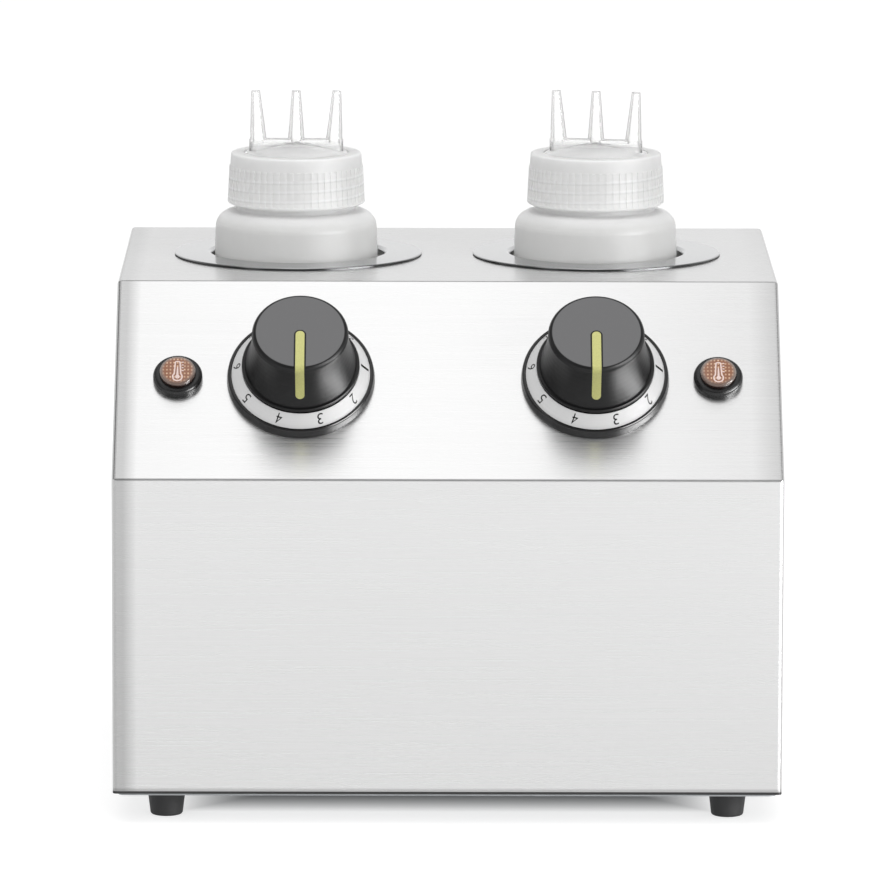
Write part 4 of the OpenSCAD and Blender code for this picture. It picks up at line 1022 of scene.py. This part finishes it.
class WARMER_OT_wiring(bpy.types.Operator):
    """Finish the leads, the terminal block, the earth stud and the cord gland"""

    bl_idname = "warmer.wiring"
    bl_label = "Wiring"

    def execute(self, context):
        colours = context.scene.warmer_colours
        # Extruded silicone and PVC are even and dull, moulded nylon a little waxy. Turned brass
        # is bright yellow.
        silicone = moulded("silicone_extruded_brown", tone("#7A4A30"), 0.55, 1 * MM, 0.01 * MM)
        earth = moulded("pvc_extruded_green", tone("#7E8E2E"), 0.5, 1 * MM, 0.01 * MM)
        nylon = moulded("nylon_natural", tone("#E9E6DA"), 0.42, 0.6 * MM, 0.01 * MM)
        gland = moulded("nylon_black_gland", colours.black, 0.4, 0.5 * MM, 0.01 * MM)
        brass = plated("brass_turned", tone("#C9A558"), 0.28, 2 * MM)
        dress(silicone, "wiring_left", "wiring_right")
        dress(earth, "earth_lead")
        dress(nylon, "terminal_block")
        dress(brass, "earth_stud")
        dress(gland, "cord_gland")
        return {"FINISHED"}


class WARMER_OT_studio(bpy.types.Operator):
    """Set the floor, the lights, the surroundings and the camera"""

    bl_idname = "warmer.studio"
    bl_label = "Studio"

    def execute(self, context):
        studio_floor(context.scene.warmer_colours)
        studio_lights()
        studio_world(context.scene.warmer_studio)
        studio_camera(context.scene.warmer_studio)
        return {"FINISHED"}


def studio_floor(colours):
    """A wide pale floor that reads as white paper and keeps the object's shadow."""
    bm = bmesh.new()
    bmesh.ops.create_grid(bm, x_segments=8, y_segments=8, size=12)
    mesh = mesh_of(bm, "floor")
    made = bpy.data.materials.new("paper_matte")
    made.use_nodes = True
    tree = made.node_tree
    tree.nodes.clear()
    path = add(tree, "ShaderNodeLightPath")
    through = path.outputs["Is Transmission Ray"]
    see_through, lit_level, fall_off = 0.72, 0.7, 1.6
    clear = arithmetic(tree, "MULTIPLY", through, see_through)
    place = add(tree, "ShaderNodeTexCoord").outputs["Object"]
    # Distance from the casing's outline: negative under it
    away = arithmetic(tree, "MAXIMUM", *[
        arithmetic(tree, "SUBTRACT", arithmetic(tree, "ABSOLUTE", side), half)
        for side, half in zip(axes(tree, place), FOOTPRINT)
    ])
    paper = add(tree, "ShaderNodeBsdfDiffuse", None, {"Color": colours.floor})
    # Painted shade: in gloss the paper is dimmer near the casing
    far = spread(tree, away, 0.5, 0.9, 0.1, 1.0)
    mirrored = arithmetic(tree, "SUBTRACT", path.outputs["Is Glossy Ray"], through)
    mirrored = arithmetic(tree, "MAXIMUM", mirrored, 0.0)
    gloss = arithmetic(tree, "MULTIPLY_ADD", mirrored, far, clear)
    # Painted shadow: the paper's glow to the camera falls off under the casing between these
    # distances
    deep, shallow = -66 * MM, -28 * MM
    open_air = arithmetic(tree, "POWER", spread(tree, away, 0, 1, deep, shallow), fall_off)
    painted_glow = arithmetic(tree, "MULTIPLY", open_air, lit_level)
    seen = arithmetic(tree, "MULTIPLY_ADD", path.outputs["Is Camera Ray"], painted_glow, gloss)
    glow = add(tree, "ShaderNodeEmission", None, {"Strength": seen})
    both = add(tree, "ShaderNodeAddShader", None, {0: paper.outputs[0], 1: glow.outputs[0]})
    add(tree, "ShaderNodeOutputMaterial", None, {"Surface": both.outputs[0]})
    mesh.materials.append(made)
    floor = placed_object("floor", mesh)


def soft_box(name, place, target, wide, high, level, in_gloss_only=False):
    """An area light whose face has that level, where 1 is white, pointed at target."""
    data = bpy.data.lights.new(name, "AREA")
    data.shape = "RECTANGLE"
    data.size, data.size_y = wide, high
    data.energy = level * math.pi * wide * high
    lamp = placed_object(name, data)
    lamp.location = place
    lamp.rotation_euler = (Vector(target) - Vector(place)).to_track_quat("-Z", "Y").to_euler()
    lamp.visible_diffuse = not in_gloss_only


def studio_lights():
    soft_box("overhead", (0, -0.3, 1.7), (0, 0, 0.2), 2.4, 1.9, 0.66)
    soft_box("overhead_middle", (-0.065, -0.25, 1.69), (-0.065, -0.25, 0), 0.41, 1.3, 0.45)
    soft_box("low_right", (1.55, -1.15, 0.75), (0, -0.1, 0.15), 0.35, 0.6, 3.0)
    soft_box("gloss_right", (1.45, -1.2, 0.5), (0, -0.1, 0.2), 1.5, 0.7, 18.0, True)
    soft_box("front_left", (-1.5, -1.5, 1.1), (0, -0.1, 0.15), 0.6, 1.0, 1.0)


def studio_world(studio):
    """White to the camera; in gloss, white low down at the back and dim above and in front."""
    world = bpy.data.worlds.new("studio")
    bpy.context.scene.world = world
    world.use_nodes = True
    tree = world.node_tree
    tree.nodes.clear()
    toward = axes(tree, add(tree, "ShaderNodeTexCoord").outputs["Generated"])
    high = spread(tree, toward[2], 0, 1, 0.4, 0.6)
    front = spread(tree, toward[1], 1, 0, -0.3, 0.2)
    dim = arithmetic(tree, "MAXIMUM", high, front)
    white_in_gloss = 1.09
    gloss = spread(tree, dim, white_in_gloss, studio.flags, 0, 1)
    # Soft light is a little stronger from the right and from the front, weaker from above
    soft = 1.0
    for direction, gain in ((toward[0], 0.2), (toward[1], -0.45), (high, -0.35)):
        soft = arithmetic(tree, "MULTIPLY_ADD", direction, gain, soft)
    soft = arithmetic(tree, "MULTIPLY", soft, studio.surroundings)
    path = add(tree, "ShaderNodeLightPath")
    white = arithmetic(
        tree, "MAXIMUM", path.outputs["Is Camera Ray"], path.outputs["Is Transmission Ray"]
    )
    level = add(
        tree, "ShaderNodeMix", {"data_type": "FLOAT"},
        {"Factor": path.outputs["Is Glossy Ray"], 2: soft, 3: gloss},
    ).outputs[0]
    level = add(
        tree, "ShaderNodeMix", {"data_type": "FLOAT"}, {"Factor": white, 2: level, 3: 1.0}
    ).outputs[0]
    back = add(tree, "ShaderNodeBackground", None, {"Color": (1, 1, 1, 1), "Strength": level})
    add(tree, "ShaderNodeOutputWorld", None, {"Surface": back.outputs[0]})


def studio_camera(studio):
    data = bpy.data.cameras.new("camera")
    data.sensor_width = 36
    data.lens = studio.lens
    camera = placed_object("camera", data)
    camera.matrix_world = (
        Matrix.Translation(studio.place)
        @ Matrix.Rotation(-studio.yaw, 4, "Z")
        @ Matrix.Rotation(math.pi / 2 - studio.pitch, 4, "X")
        @ Matrix.Rotation(studio.roll, 4, "Z")
    )
    bpy.context.scene.camera = camera
    bpy.context.scene.view_settings.view_transform = "Standard"


class WARMER_PT_panel(bpy.types.Panel):
    bl_idname = "WARMER_PT_panel"
    bl_label = "Topping Warmer"
    bl_space_type = "VIEW_3D"
    bl_region_type = "UI"
    bl_category = "Warmer"

    def draw(self, context):
        for group in (
            context.scene.warmer_colours, context.scene.warmer_sizes, context.scene.warmer_studio
        ):
            box = self.layout.box()
            for name in group.__annotations__:
                box.prop(group, name)
        for operator in OPERATORS:
            self.layout.operator(operator.bl_idname)


GROUPS = {
    "warmer_colours": WarmerColours, "warmer_sizes": WarmerSizes, "warmer_studio": WarmerStudio
}
OPERATORS = (
    WARMER_OT_casing, WARMER_OT_wells, WARMER_OT_controls, WARMER_OT_lamps, WARMER_OT_bottles,
    WARMER_OT_wiring, WARMER_OT_studio,
)


def register():
    for kind in (*GROUPS.values(), *OPERATORS, WARMER_PT_panel):
        bpy.utils.register_class(kind)
    for name, kind in GROUPS.items():
        setattr(bpy.types.Scene, name, bpy.props.PointerProperty(type=kind))


def unregister():
    for name in GROUPS:
        delattr(bpy.types.Scene, name)
    for kind in reversed((*GROUPS.values(), *OPERATORS, WARMER_PT_panel)):
        bpy.utils.unregister_class(kind)


def main():
    register()
    for operator in OPERATORS:
        group, name = operator.bl_idname.split(".")
        getattr(getattr(bpy.ops, group), name)()


if __name__ == "__main__":
    main()
